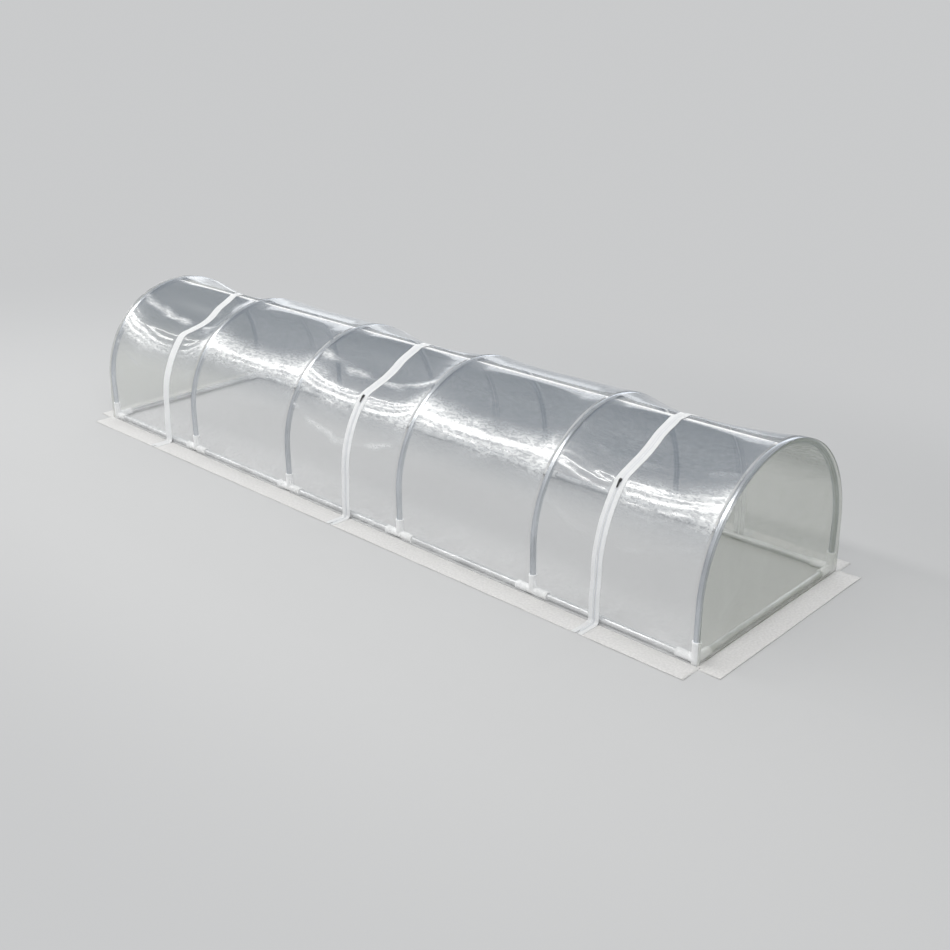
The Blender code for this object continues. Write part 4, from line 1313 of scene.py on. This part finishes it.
def fitting_mesh(name, arms, bores, detail):
    """Sleeves melted together with soft inner corners, then bored."""
    shape = bmesh.new()
    for profile, direction in arms:
        shape.from_mesh(turned_shape(profile, direction))
    joined = bpy.data.meshes.new(name)
    shape.to_mesh(joined)
    shape.free()
    item = in_scene("helper", joined)
    melt = item.modifiers.new("Melt", "REMESH")
    melt.mode = "VOXEL"
    melt.voxel_size = detail
    soften = item.modifiers.new("Soften", "SMOOTH")
    soften.factor = SOFTENING
    soften.iterations = SOFTENING_PASSES
    thin = item.modifiers.new("Thin", "DECIMATE")
    thin.ratio = FACES_KEPT
    melted = evaluated_mesh(item, name)
    floor = -RAIL_HEIGHT + FIT_GAP / 2
    for vertex in melted.vertices:
        vertex.co.z = max(vertex.co.z, floor)
    item = in_scene("helper", melted)
    cutters = []
    for start, end, direction in bores:
        profile = [(0.0, end), (BORE_RADIUS, end), (BORE_RADIUS, start), (0.0, start)]
        cutter = in_scene("helper", turned_shape(profile, direction))
        cutter.hide_render = True
        cutters.append(cutter)
        cut = item.modifiers.new("Bore", "BOOLEAN")
        cut.operation = "DIFFERENCE"
        cut.object = cutter
    bored = evaluated_mesh(item, name)
    for cutter in cutters:
        bpy.data.objects.remove(cutter, do_unlink=True)
    bored.shade_smooth()
    bored.set_sharp_from_angle(angle=FITTING_SHARP_ANGLE)
    return bored


class ROWCOVER_OT_dress_fittings(bpy.types.Operator):
    """Moulded tees and three-way corners with soft inner corners and open sockets"""

    bl_idname = "rowcover.dress_fittings"
    bl_label = "Dress Fittings"

    def execute(self, context):
        settings = context.scene.tunnel_fittings
        white = plastic_material("moulded_white", settings.colour, *FITTING_PLASTIC)
        top = SOCKET_TOP - RAIL_HEIGHT
        floor = LEG_FOOT - RAIL_HEIGHT - FIT_GAP
        upright = (sleeve_profile(0.0, top, False), (0, 0, 1))
        tee = fitting_mesh(
            "tee",
            [(sleeve_profile(-TEE_REACH, TEE_REACH, True), (1, 0, 0)), upright],
            [
                (STOP_WALL / 2, TEE_REACH + CUT_PAST, (1, 0, 0)),
                (STOP_WALL / 2, TEE_REACH + CUT_PAST, (-1, 0, 0)),
                (floor, top + CUT_PAST, (0, 0, 1)),
            ],
            settings.detail,
        )
        stop = BORE_RADIUS + STOP_WALL
        corner = fitting_mesh(
            "corner",
            [
                (sleeve_profile(-RAIL_HEIGHT, top, False), (0, 0, 1)),
                (sleeve_profile(0.0, CORNER_REACH, False), (1, 0, 0)),
                (sleeve_profile(0.0, CORNER_REACH, False), (0, 1, 0)),
            ],
            [
                (stop, CORNER_REACH + CUT_PAST, (1, 0, 0)),
                (stop, CORNER_REACH + CUT_PAST, (0, 1, 0)),
                (floor, top + CUT_PAST, (0, 0, 1)),
            ],
            settings.detail,
        )
        for side, y in (("front", -HOOP_RADIUS), ("back", HOOP_RADIUS)):
            for index in range(1, BAY_COUNT):
                self.seat(f"{side}_tee_{index + 1}", tee, (HOOP_X[index], y), 0.0, white)
        half = HOOP_X[-1]
        quarter = math.pi / 2
        self.seat("front_left_corner", corner, (-half, -HOOP_RADIUS), 0.0, white)
        self.seat("front_right_corner", corner, (half, -HOOP_RADIUS), quarter, white)
        self.seat("back_right_corner", corner, (half, HOOP_RADIUS), 2 * quarter, white)
        self.seat("back_left_corner", corner, (-half, HOOP_RADIUS), 3 * quarter, white)
        return {"FINISHED"}

    def seat(self, node, mesh, place, turn, material):
        """Puts a fitting in its node's place, turned about its post."""
        piece = add_piece(node + "_fitting", mesh, material)
        turned = Matrix.Rotation(turn, 4, "Z")
        piece.matrix_world = Matrix.Translation((*place, RAIL_HEIGHT)) @ turned
        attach(piece, "frame")
        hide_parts(node)


# Film

PANEL_WAVE = 0.0020
PANEL_STEPS_ROUND = 120
PANEL_STEPS_UP = 60
PANEL_GRAIN = (0.12, 0.16, 71)
# A panel is taut along its rim and its foot. Its waves rise this fast away from them
PANEL_RIM_RISE = 3
PANEL_FOOT_RISE = 4


def cover_points(x, run, settings):
    """Points of the film's inner face on a grid of places along and across the tunnel."""
    y, z, out_y, out_z, angle = arch_at(run)
    offset = film_crinkles(x, run, settings) - film_sag(x, angle)
    return np.stack([x, y + out_y * offset, z + out_z * offset], axis=-1)


class ROWCOVER_OT_dress_cover(bpy.types.Operator):
    """Crinkled clear film in its four sections, and the flat end panels"""

    bl_idname = "rowcover.dress_cover"
    bl_label = "Dress Cover"

    def execute(self, context):
        settings = context.scene.tunnel_film
        film = cover_material(settings)
        edges = [-COVER_END]
        for x in BAND_X:
            edges += [x - FILM_SLIT / 2, x + FILM_SLIT / 2]
        edges.append(COVER_END)
        run = steps_between(0.0, FULL_RUN, settings.pitch_across)
        for index in range(len(edges) // 2):
            start, end = edges[2 * index], edges[2 * index + 1]
            self.section(index, start, end, run, settings, film)
        self.panels(settings)
        return {"FINISHED"}

    def section(self, index, start, end, run, settings, material):
        places = steps_between(start, end, settings.pitch_along)
        grid_x, grid_run = np.meshgrid(places, run)
        points = cover_points(grid_x, grid_run, settings)
        flat = np.stack([grid_x, grid_run], axis=-1)
        node = f"cover_section_{index + 1}"
        mesh = sheet_mesh(node + "_film", points, flat, (0.0, -1.0, 0.0))
        # Stores the crease and painted highlight share on the film's points
        layer = mesh.attributes.new(CREASE_HIGHLIGHT_LAYER, "FLOAT", "POINT")
        layer.data.foreach_set("value", crease_and_highlight_share(grid_x, grid_run).astype(np.float32).ravel())
        piece = add_piece(node + "_film", mesh, material, "frame", (node,))
        thicken(piece, FILM_THICKNESS)

    def panels(self, settings):
        film = panel_material(settings)
        turn = np.linspace(0.0, math.pi, PANEL_STEPS_ROUND + 1)
        share = np.linspace(0.0, 1.0, PANEL_STEPS_UP + 1)
        grid_turn, grid_share = np.meshgrid(turn, share)
        top = LEG_HEIGHT + (FILM_RADIUS - FIT_GAP) * np.sin(grid_turn)
        z = FILM_FOOT + (top - FILM_FOOT) * grid_share
        widening = FOOT_FLARE * ease((LEG_HEIGHT - z) / FLARE_HEIGHT)
        y = -np.cos(grid_turn) * (FILM_RADIUS - FIT_GAP + widening)
        from_foot = np.minimum(1.0, grid_share * PANEL_FOOT_RISE)
        from_rim = np.minimum(np.sin(grid_turn), 1.0 - grid_share) * from_foot
        slack = PANEL_WAVE * rough_patches(y, z, PANEL_GRAIN) * ease(from_rim * PANEL_RIM_RISE)
        for side, word in ((-1, "left"), (1, "right")):
            node = word + "_end_panel"
            x = side * (PANEL_FACE + np.maximum(slack, 0.0))
            points = np.stack([x, y, z], axis=-1)
            flat = np.stack([y, z], axis=-1)
            mesh = sheet_mesh(node + "_film", points, flat, (side, 0.0, 0.0))
            piece = add_piece(node + "_film", mesh, film, "frame", (node,))
            thicken(piece, FILM_THICKNESS)
            height = highest(node).z - lowest(node).z


# Skirt

SKIRT_GROUND = 0.0001
SKIRT_STEP_LONG = 0.012
SKIRT_STEP_CROSS = 0.004
EDGE_WANDER = 0.0016
EDGE_GRAIN = 0.09
EDGE_SEED_SHIFT = 7
# Seeds of the long flaps, front and back, and of the end flaps, left and right
LONG_SEEDS = (101, 141)
END_SEEDS = (201, 241)
# Waves past the fold: broad swells, small puckers, and how much a band's foot holds them down
SWELL_GRAIN = (0.21, 0.20)
PUCKER_GRAIN = (0.034, 0.050)
PUCKER_HEIGHT = 0.0005
BAND_HELD_SHARE = 0.25
BAND_HELD_REACH = 0.06


def skirt_lift(along, past_fold, seed, settings):
    """Height of the skirt's underside over the ground, rising in soft waves past the fold."""
    rise = ease(past_fold / (SKIRT_Y - FOLD_Y))
    swell = 0.5 + 0.5 * patches(along, past_fold, (*SWELL_GRAIN, seed))
    pucker = patches(along, past_fold, (*PUCKER_GRAIN, seed + 1))
    held = np.ones_like(along)
    if seed in LONG_SEEDS:
        for place in BAND_X:
            free = ease((np.abs(along - place) - BAND_HALF) / BAND_HELD_REACH)
            held = held * (BAND_HELD_SHARE + (1.0 - BAND_HELD_SHARE) * free)
    lifted = SKIRT_GROUND + settings.lift * rise * swell * held
    return lifted + PUCKER_HEIGHT * rise * (1.0 + pucker)


def outer_edge(along, seed):
    """How far the cut edge wanders in from its straight line."""
    wander = rough_patches(along, 0.0, (EDGE_GRAIN, 1.0, seed + EDGE_SEED_SHIFT))
    return EDGE_WANDER * (0.5 + 0.5 * wander / ROUGH_PEAK)


def bend_at_long_fold(piece, word, side):
    """Bakes a piece's place into its points."""
    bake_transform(piece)


class ROWCOVER_OT_dress_skirt(bpy.types.Operator):
    """Woven skirt pieces that lift in soft waves past their fold lines"""

    bl_idname = "rowcover.dress_skirt"
    bl_label = "Dress Skirt"

    def execute(self, context):
        settings = context.scene.tunnel_skirt
        cloth = cloth_material("skirt_cloth", settings.colour, *SKIRT_WEAVE)
        for word, side in (("front", -1), ("back", 1)):
            self.long_side(word, side, settings, cloth)
        for word, side in (("left", -1), ("right", 1)):
            self.short_side(word, side, settings, cloth)
        return {"FINISHED"}

    def long_side(self, word, side, settings, cloth):
        inner = HOOP_RADIUS + SLEEVE_RADIUS + 2 * FIT_GAP
        slit = SLIT_WIDTH / 2
        columns = list(steps_between(-FOLD_X + FIT_GAP, FOLD_X - FIT_GAP, SKIRT_STEP_LONG))
        columns = [x for x in columns if np.min(np.abs(x - BAND_X)) > 2 * slit]
        columns += [x + shift for x in BAND_X for shift in (-slit, slit)]
        columns = np.array(sorted(columns))
        slit_start = SKIRT_Y - SLIT_LENGTH
        rows = np.concatenate([
            steps_between(inner, FOLD_Y - BLEND_HALF, SKIRT_STEP_CROSS)[:-1],
            steps_between(FOLD_Y - BLEND_HALF, FOLD_Y + BLEND_HALF, BLEND_HALF / 3)[:-1],
            steps_between(FOLD_Y + BLEND_HALF, slit_start, SKIRT_STEP_CROSS)[:-1],
            steps_between(slit_start, SKIRT_Y, SKIRT_STEP_CROSS),
        ])
        grid_x, grid_y = np.meshgrid(columns, rows)
        seed = LONG_SEEDS[side > 0]
        z = skirt_lift(grid_x, np.maximum(grid_y - FOLD_Y, 0.0), seed, settings)
        past = ease((grid_y - slit_start) / SLIT_LENGTH)
        y = side * (grid_y - outer_edge(grid_x, seed) * past)
        points = np.stack([grid_x, y, z], axis=-1)
        flat = np.stack([grid_x, grid_y], axis=-1)
        in_slit = (rows[:-1] >= slit_start - FIT_GAP)[:, None]
        centres = (columns[:-1] + columns[1:])[:, None] / 2
        at_band = np.any(np.abs(centres - BAND_X) < slit / 2, axis=1)
        keep = ~(in_slit & at_band[None, :])
        name = word + "_skirt_cloth"
        mesh = sheet_mesh(name, points, flat, (0.0, 0.0, 1.0), keep)
        piece = add_piece(name, mesh, cloth)
        thicken(piece, SKIRT_THICKNESS)
        bend_at_long_fold(piece, word, side)
        replaced = [word + "_flap"] + (["skirt_border"] if side < 0 else [])
        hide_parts(*replaced)

    def short_side(self, word, side, settings, cloth):
        inner = HOOP_X[-1] + SLEEVE_RADIUS + 2 * FIT_GAP
        half = FOLD_Y - FIT_GAP
        border_half = HOOP_RADIUS + SLEEVE_RADIUS + FIT_GAP
        columns = np.concatenate([
            [-half], steps_between(-border_half, border_half, SKIRT_STEP_LONG), [half],
        ])
        rows = np.concatenate([
            steps_between(inner, FOLD_X - BLEND_HALF, SKIRT_STEP_CROSS)[:-1],
            steps_between(FOLD_X - BLEND_HALF, FOLD_X, BLEND_HALF / 3)[:-1],
            steps_between(FOLD_X, FOLD_X + BLEND_HALF, BLEND_HALF / 3)[:-1],
            steps_between(FOLD_X + BLEND_HALF, SKIRT_X, SKIRT_STEP_CROSS),
        ])
        grid_y, grid_x = np.meshgrid(columns, rows)
        seed = END_SEEDS[side > 0]
        z = skirt_lift(grid_y, np.maximum(grid_x - FOLD_X, 0.0), seed, settings)
        past = ease((grid_x - FOLD_X - SLIT_LENGTH) / SLIT_LENGTH)
        x = side * (grid_x - outer_edge(grid_y, seed) * past)
        points = np.stack([x, grid_y, z], axis=-1)
        flat = np.stack([grid_y, grid_x], axis=-1)
        in_border = (rows[1:] <= FOLD_X + FIT_GAP)[:, None]
        at_corner = (np.abs((columns[:-1] + columns[1:]) / 2) > border_half)[None, :]
        keep = ~(in_border & at_corner)
        name = word + "_skirt_cloth"
        mesh = sheet_mesh(name, points, flat, (0.0, 0.0, 1.0), keep)
        piece = add_piece(name, mesh, cloth)
        thicken(piece, SKIRT_THICKNESS)
        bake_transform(piece)
        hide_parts(word + "_end_flap")


# Zipped bands

TAPE_STEP = 0.0035
FOOT_BEND_STEPS = 8
INNER_EDGE = 0.0001
# Across a tape from the chain outward: places by its width, and the hem's rise there
TAPE_PLACES = np.array([0.0, 0.10, 0.20, 0.26, 0.45, 0.70, 0.93, 1.0])
HEM_SHARES = np.array([0.6, 1.0, 1.0, 0.0, 0.0, 0.0, 0.0, 0.0])
HEM_RISE = 0.0003
PLAIN_HEM_SHARE = 0.3
SLIT_OPENING = 0.004
TAPE_WANDER = 0.0004
TAPE_GRAIN = 0.05
TAPE_SEED = 301
BAND_SEED_STEP = 10
SEAM_LOW = 0.0036
SEAM_HIGH = 0.0046
# Chain: rounded teeth, and a longer stop at each end
CHAIN_TOP = 0.0018
CHAIN_SHARP_ANGLE = math.radians(55)
CHAIN_END_GAP = 0.004
TOOTH_SIDES = 8
TOOTH_SWELL = 1.08
TOOTH_REACH = 0.0021
TOOTH_OVERLAP = 0.0006
TOOTH_HALF_SHARE = 0.27
STOP_ANGLE = math.radians(44.0)
STOP_REACH = TOOTH_REACH + 0.0006
STOP_HALF = 0.0014
SLIDER_ROUNDING = 0.00022


def band_path(x, side, settings):
    """One band from the crown down one side and out over the skirt: places and directions."""
    run = steps_between(FULL_RUN / 2, SKIRT_THICKNESS + FOOT_BEND - FILM_FOOT, TAPE_STEP)
    y, z, out_y, out_z, angle = arch_at(run)
    offset = TAPE_BASE - film_sag(np.full(len(run), x), angle)
    film_y = y + out_y * offset
    film_z = z + out_z * offset
    turn = np.linspace(0.0, math.pi / 2, FOOT_BEND_STEPS + 1)[1:]
    face = FOOT_HALF_WIDTH + TAPE_BASE
    top = SKIRT_GROUND + SKIRT_THICKNESS + FIT_GAP
    bend_y = -face - FOOT_BEND * (1 - np.cos(turn))
    bend_z = top + FOOT_BEND * (1 - np.sin(turn))
    flat_y = -steps_between(face + FOOT_BEND, SKIRT_Y - EDGE_WANDER, TAPE_STEP)[1:]
    seed = LONG_SEEDS[side > 0]
    lift = skirt_lift(np.full(len(flat_y), x), -flat_y - FOLD_Y, seed, settings)
    flat_z = lift + SKIRT_THICKNESS + FIT_GAP
    path_y = np.concatenate([film_y, bend_y, flat_y])
    path_z = np.concatenate([film_z, bend_z, flat_z])
    path = np.stack([path_y, path_z], axis=1)
    direction, length = along_line(path)
    normal = np.stack([direction[:, 1], -direction[:, 0]], axis=1)
    if side > 0:
        path = path * (-1.0, 1.0)
        normal = normal * (-1.0, 1.0)
    return path, normal, length


def tape_mesh(name, x, hand, path, normal, length, zipped, seed):
    """One woven tape: a raised hem beside the chain, and an edge that wanders a little."""
    rise = HEM_SHARES * HEM_RISE
    if not zipped:
        rise = rise * PLAIN_HEM_SHARE
    into_slit = np.abs(path[:, 0]) - (SKIRT_Y - SLIT_LENGTH)
    in_foot = np.arange(len(path)) > len(path) // 2
    opened = SLIT_WIDTH / 2 * ease(into_slit / SLIT_OPENING)
    inner = np.maximum(np.where(in_foot, opened, INNER_EDGE), INNER_EDGE)
    wander = TAPE_WANDER * rough_patches(length, 0.0, (TAPE_GRAIN, 1.0, seed))
    outer = BAND_HALF - TAPE_WANDER + wander
    across = inner[:, None] + (outer - inner)[:, None] * TAPE_PLACES[None, :]
    x_places = x + hand * across
    y_places = path[:, 0, None] + normal[:, 0, None] * rise[None, :]
    z_places = path[:, 1, None] + normal[:, 1, None] * rise[None, :]
    points = np.stack([x_places, y_places, z_places], axis=-1)
    run = np.broadcast_to(length[:, None], across.shape)
    flat = np.stack([run, across], axis=-1)
    outward = (0.0, normal[0, 0], normal[0, 1])
    return sheet_mesh(name, points, flat, outward)


def tooth_rows(path, normal, length, start, end, pitch):
    """Where the teeth sit: place, outward and forward direction of each, along part of a path."""
    places = np.arange(start, end, pitch)
    place = np.stack([np.interp(places, length, path[:, axis]) for axis in range(2)], axis=1)
    out = np.stack([np.interp(places, length, normal[:, axis]) for axis in range(2)], axis=1)
    forward = np.stack([out[:, 1], -out[:, 0]], axis=1)
    return place, out, forward


def chain_mesh(name, x, path, normal, length, start, end, pitch):
    """The closed chain: two rows of rounded teeth that reach between each other, and two stops."""
    half_turn = math.pi / TOOTH_SIDES
    corner = np.arange(TOOTH_SIDES) * 2 * half_turn + half_turn
    half_rise = (CHAIN_TOP - TAPE_THICKNESS) / 2
    centre_rise = TAPE_THICKNESS + half_rise
    points = []
    faces = []
    bars = []
    for hand, shift in ((-1, 0.0), (1, 0.5)):
        place, out, forward = tooth_rows(path, normal, length, start + shift * pitch, end, pitch)
        for spot, away, ahead in zip(place, out, forward):
            inner = -hand * TOOTH_OVERLAP
            outer = hand * TOOTH_REACH
            bars.append((spot, away, ahead, inner, outer, pitch * TOOTH_HALF_SHARE))
    for spot_at in (start, end):
        past = spot_at + pitch / 2
        place, out, forward = tooth_rows(path, normal, length, spot_at, past, pitch)
        bars.append((place[0], out[0], forward[0], -STOP_REACH, STOP_REACH, STOP_HALF))
    for spot, away, ahead, low_x, high_x, half_along in bars:
        first = len(points)
        for edge_x in (low_x, high_x):
            for turn in corner:
                along = half_along * math.cos(turn) * TOOTH_SWELL
                up = centre_rise + half_rise * math.sin(turn) * TOOTH_SWELL
                y = spot[0] + away[0] * up + ahead[0] * along
                z = spot[1] + away[1] * up + ahead[1] * along
                points.append((x + edge_x, y, z))
        second = first + TOOTH_SIDES
        for index in range(TOOTH_SIDES):
            after = (index + 1) % TOOTH_SIDES
            faces.append((first + index, first + after, second + after, second + index))
        faces.append(tuple(reversed(range(first, second))))
        faces.append(tuple(range(second, second + TOOTH_SIDES)))
    mesh = mesh_from(name, np.array(points), faces)
    face_outward(mesh, CHAIN_SHARP_ANGLE)
    return mesh


class ROWCOVER_OT_dress_zips(bpy.types.Operator):
    """Woven bands, toothed chains and enamelled sliders"""

    bl_idname = "rowcover.dress_zips"
    bl_label = "Dress Zips"

    def execute(self, context):
        settings = context.scene.tunnel_zips
        seam = (settings.seam_shade_colour, SEAM_LOW, SEAM_HIGH)
        zipped_tape = cloth_material("zip_tape", settings.tape_colour, *TAPE_WEAVE, seam)
        plain_tape = cloth_material("plain_tape", settings.tape_colour, *TAPE_WEAVE)
        teeth = plastic_material("zip_teeth", settings.tape_colour, *TEETH_PLASTIC)
        enamel = enamel_material(settings)
        for band, x in enumerate(BAND_X):
            for word, side in (("front", -1), ("back", 1)):
                if word == SLIDER_SIDES[band]:
                    chain = self.chain(context, band, x, word, side, teeth)
                    self.one_side(context, band, x, word, side, zipped_tape, [chain])
                else:
                    self.one_side(context, band, x, word, side, plain_tape, [])
            for part in ("slider", "pull"):
                self.finish_metal(f"zip_{part}_{band + 1}", enamel)
        return {"FINISHED"}

    def one_side(self, context, band, x, word, side, material, chain):
        path, normal, length = band_path(x, side, context.scene.tunnel_skirt)
        for hand_word, hand in (("left", -1), ("right", 1)):
            name = f"zip_{band + 1}_{hand_word}_{word}_tape"
            seed = TAPE_SEED + BAND_SEED_STEP * band + hand + 2 * side
            mesh = tape_mesh(name, x, hand, path, normal, length, bool(chain), seed)
            piece = add_piece(name, mesh, material)
            thicken(piece, TAPE_THICKNESS)
            bend_at_long_fold(piece, word, side)
            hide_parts(f"zip_{band + 1}_{hand_word}_tape")

    def chain(self, context, band, x, word, side, material):
        path, normal, length = band_path(x, side, context.scene.tunnel_skirt)
        start = FILM_RADIUS * (math.pi / 2 - STOP_ANGLE)
        end = np.interp(SKIRT_Y - SLIT_LENGTH, np.abs(path[:, 0]), length) - CHAIN_END_GAP
        pitch = context.scene.tunnel_zips.tooth_pitch
        name = f"zip_{band + 1}_chain"
        mesh = chain_mesh(name, x, path, normal, length, start, end, pitch)
        piece = add_piece(name, mesh, material)
        bend_at_long_fold(piece, word, side)
        return piece

    def finish_metal(self, node, material):
        """Softens the edges of a slider or a pull and enamels it."""
        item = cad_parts[node]
        item.data.materials.clear()
        item.data.materials.append(material)
        edges = item.modifiers.new("Soft edges", "BEVEL")
        edges.width = SLIDER_ROUNDING
        edges.segments = 2
        edges.limit_method = "ANGLE"


# Stage

FLOOR_REACH = 60.0
# The floor turns white with distance, measured with its length squeezed to suit the tunnel
FLOOR_SQUEEZE = (0.5, 1.0, 1.0)
FADE_START = 1.0
FADE_END = 2.4
AROUND_COLOUR = (0.98, 0.99, 1.0)
FLOOR_ROUGHNESS = 0.9
FLOOR_GLOSS = 0.1
KEY_COLOUR = (1.0, 0.985, 0.96)
BACK_COLOUR = (0.96, 0.98, 1.0)
VIEW_REACH = 200.0
# Long softboxes: where each stands, where it points, its length and its height
KEY_BOX = ((-1.2, -1.59, 3.0), (-1.2, -0.28, 0.44), 10.0, 0.45)
BACK_BOX = ((-3.0, 4.0, 2.3), (-1.5, 0.0, 0.2), 11.0, 1.7)


class ROWCOVER_OT_build_stage(bpy.types.Operator):
    """Pale floor, soft lamps, white surroundings and the camera"""

    bl_idname = "rowcover.build_stage"
    bl_label = "Build Stage"

    def execute(self, context):
        settings = context.scene.tunnel_stage
        self.floor(settings)
        self.world(settings)
        self.softbox("key_softbox", KEY_BOX, settings.key_power, KEY_COLOUR)
        self.softbox("back_softbox", BACK_BOX, settings.back_power, BACK_COLOUR)
        self.camera()
        context.scene.view_settings.view_transform = "Standard"
        return {"FINISHED"}

    def floor(self, settings):
        mesh = bpy.data.meshes.new("floor")
        shape = bmesh.new()
        bmesh.ops.create_grid(shape, x_segments=2, y_segments=2, size=FLOOR_REACH)
        shape.to_mesh(mesh)
        shape.free()
        item = in_scene("floor", mesh)
        material, tree, shader, place = new_material("pale_floor", Roughness=FLOOR_ROUGHNESS)
        shader.inputs["Base Color"].default_value = opaque(settings.floor_colour)
        shader.inputs["Specular IOR Level"].default_value = FLOOR_GLOSS
        squeezed = add_node(
            tree, "ShaderNodeVectorMath", {0: place.outputs["Object"], 1: FLOOR_SQUEEZE},
            operation="MULTIPLY",
        ).outputs["Vector"]
        away = add_node(tree, "ShaderNodeVectorMath", {0: squeezed}, operation="LENGTH")
        fade = remap(tree, away.outputs["Value"], FADE_START, FADE_END)
        distant = add_node(
            tree, "ShaderNodeEmission",
            {"Color": opaque(AROUND_COLOUR), "Strength": settings.fill_strength},
        )
        surface = add_node(
            tree, "ShaderNodeMixShader", {0: fade, 1: shader.outputs[0], 2: distant.outputs[0]},
        )
        tree.links.new(surface.outputs[0], tree.nodes["Material Output"].inputs["Surface"])
        mesh.materials.append(material)

    def world(self, settings):
        world = bpy.data.worlds.new("studio")
        bpy.context.scene.world = world
        world.use_nodes = True
        tree = world.node_tree
        light = tree.nodes["Background"]
        light.inputs["Color"].default_value = opaque(AROUND_COLOUR)
        light.inputs["Strength"].default_value = settings.fill_strength

    def softbox(self, name, box, power, colour):
        place, aim, length, height = box
        lamp = bpy.data.lights.new(name, "AREA")
        lamp.shape = "RECTANGLE"
        lamp.size = length
        lamp.size_y = height
        lamp.energy = power
        lamp.color = colour
        item = in_scene(name, lamp)
        back = (Vector(place) - Vector(aim)).normalized()
        along = Vector((1.0, 0.0, 0.0))
        along = (along - back * along.dot(back)).normalized()
        across = back.cross(along)
        turn = Matrix((along, across, back)).transposed().to_4x4()
        item.matrix_world = Matrix.Translation(place) @ turn
        item.visible_camera = False

    def camera(self):
        lens = bpy.data.cameras.new("photo_camera")
        lens.sensor_width = SENSOR_WIDTH
        lens.lens = PHOTO_FOCUS / PHOTO_SIDE * SENSOR_WIDTH
        lens.clip_end = VIEW_REACH
        item = in_scene("photo_camera", lens)
        level = math.cos(CAMERA_ELEVATION)
        back_x = math.sin(CAMERA_AZIMUTH) * level
        back_y = -math.cos(CAMERA_AZIMUTH) * level
        back = Vector((back_x, back_y, math.sin(CAMERA_ELEVATION)))
        right = Vector((0.0, 0.0, 1.0)).cross(back).normalized()
        up = back.cross(right)
        rolled_right = right * math.cos(CAMERA_ROLL) + up * math.sin(CAMERA_ROLL)
        rolled_up = up * math.cos(CAMERA_ROLL) - right * math.sin(CAMERA_ROLL)
        turn = Matrix((rolled_right, rolled_up, back)).transposed().to_4x4()
        item.matrix_world = Matrix.Translation(CAMERA_PLACE) @ turn
        bpy.context.scene.camera = item


class ROWCOVER_PT_looks(bpy.types.Panel):
    """Lists the steps that dress the tunnel"""

    bl_idname = "ROWCOVER_PT_looks"
    bl_label = "Row Cover Tunnel"
    bl_space_type = "VIEW_3D"
    bl_region_type = "UI"
    bl_category = "Row Cover"

    def draw(self, context):
        scene = context.scene
        steps = (
            ("rowcover.build_stage", scene.tunnel_stage),
            ("rowcover.dress_tubes", scene.tunnel_tubes),
            ("rowcover.dress_fittings", scene.tunnel_fittings),
            ("rowcover.dress_cover", scene.tunnel_film),
            ("rowcover.dress_skirt", scene.tunnel_skirt),
            ("rowcover.dress_zips", scene.tunnel_zips),
        )
        for operator, settings in steps:
            box = self.layout.box()
            box.operator(operator)
            for key in settings.__annotations__:
                box.prop(settings, key)


SETTINGS = {
    "tunnel_film": TunnelFilmSettings,
    "tunnel_tubes": TunnelTubeSettings,
    "tunnel_fittings": TunnelFittingSettings,
    "tunnel_zips": TunnelZipSettings,
    "tunnel_skirt": TunnelSkirtSettings,
    "tunnel_stage": TunnelStageSettings,
}
CLASSES = (
    *SETTINGS.values(),
    ROWCOVER_OT_build_stage,
    ROWCOVER_OT_dress_tubes,
    ROWCOVER_OT_dress_fittings,
    ROWCOVER_OT_dress_cover,
    ROWCOVER_OT_dress_skirt,
    ROWCOVER_OT_dress_zips,
    ROWCOVER_PT_looks,
)


def register():
    for item in CLASSES:
        bpy.utils.register_class(item)
    for key, group in SETTINGS.items():
        setattr(bpy.types.Scene, key, PointerProperty(type=group))


def unregister():
    for key in SETTINGS:
        delattr(bpy.types.Scene, key)
    for item in reversed(CLASSES):
        bpy.utils.unregister_class(item)


def write_sizes():
    """Brings the scene's placements up to date."""
    bpy.context.view_layer.update()


def main():
    register()
    bpy.ops.rowcover.build_stage()
    bpy.ops.rowcover.dress_tubes()
    bpy.ops.rowcover.dress_fittings()
    bpy.ops.rowcover.dress_cover()
    bpy.ops.rowcover.dress_skirt()
    bpy.ops.rowcover.dress_zips()
    write_sizes()


if __name__ == "__main__":
    main()
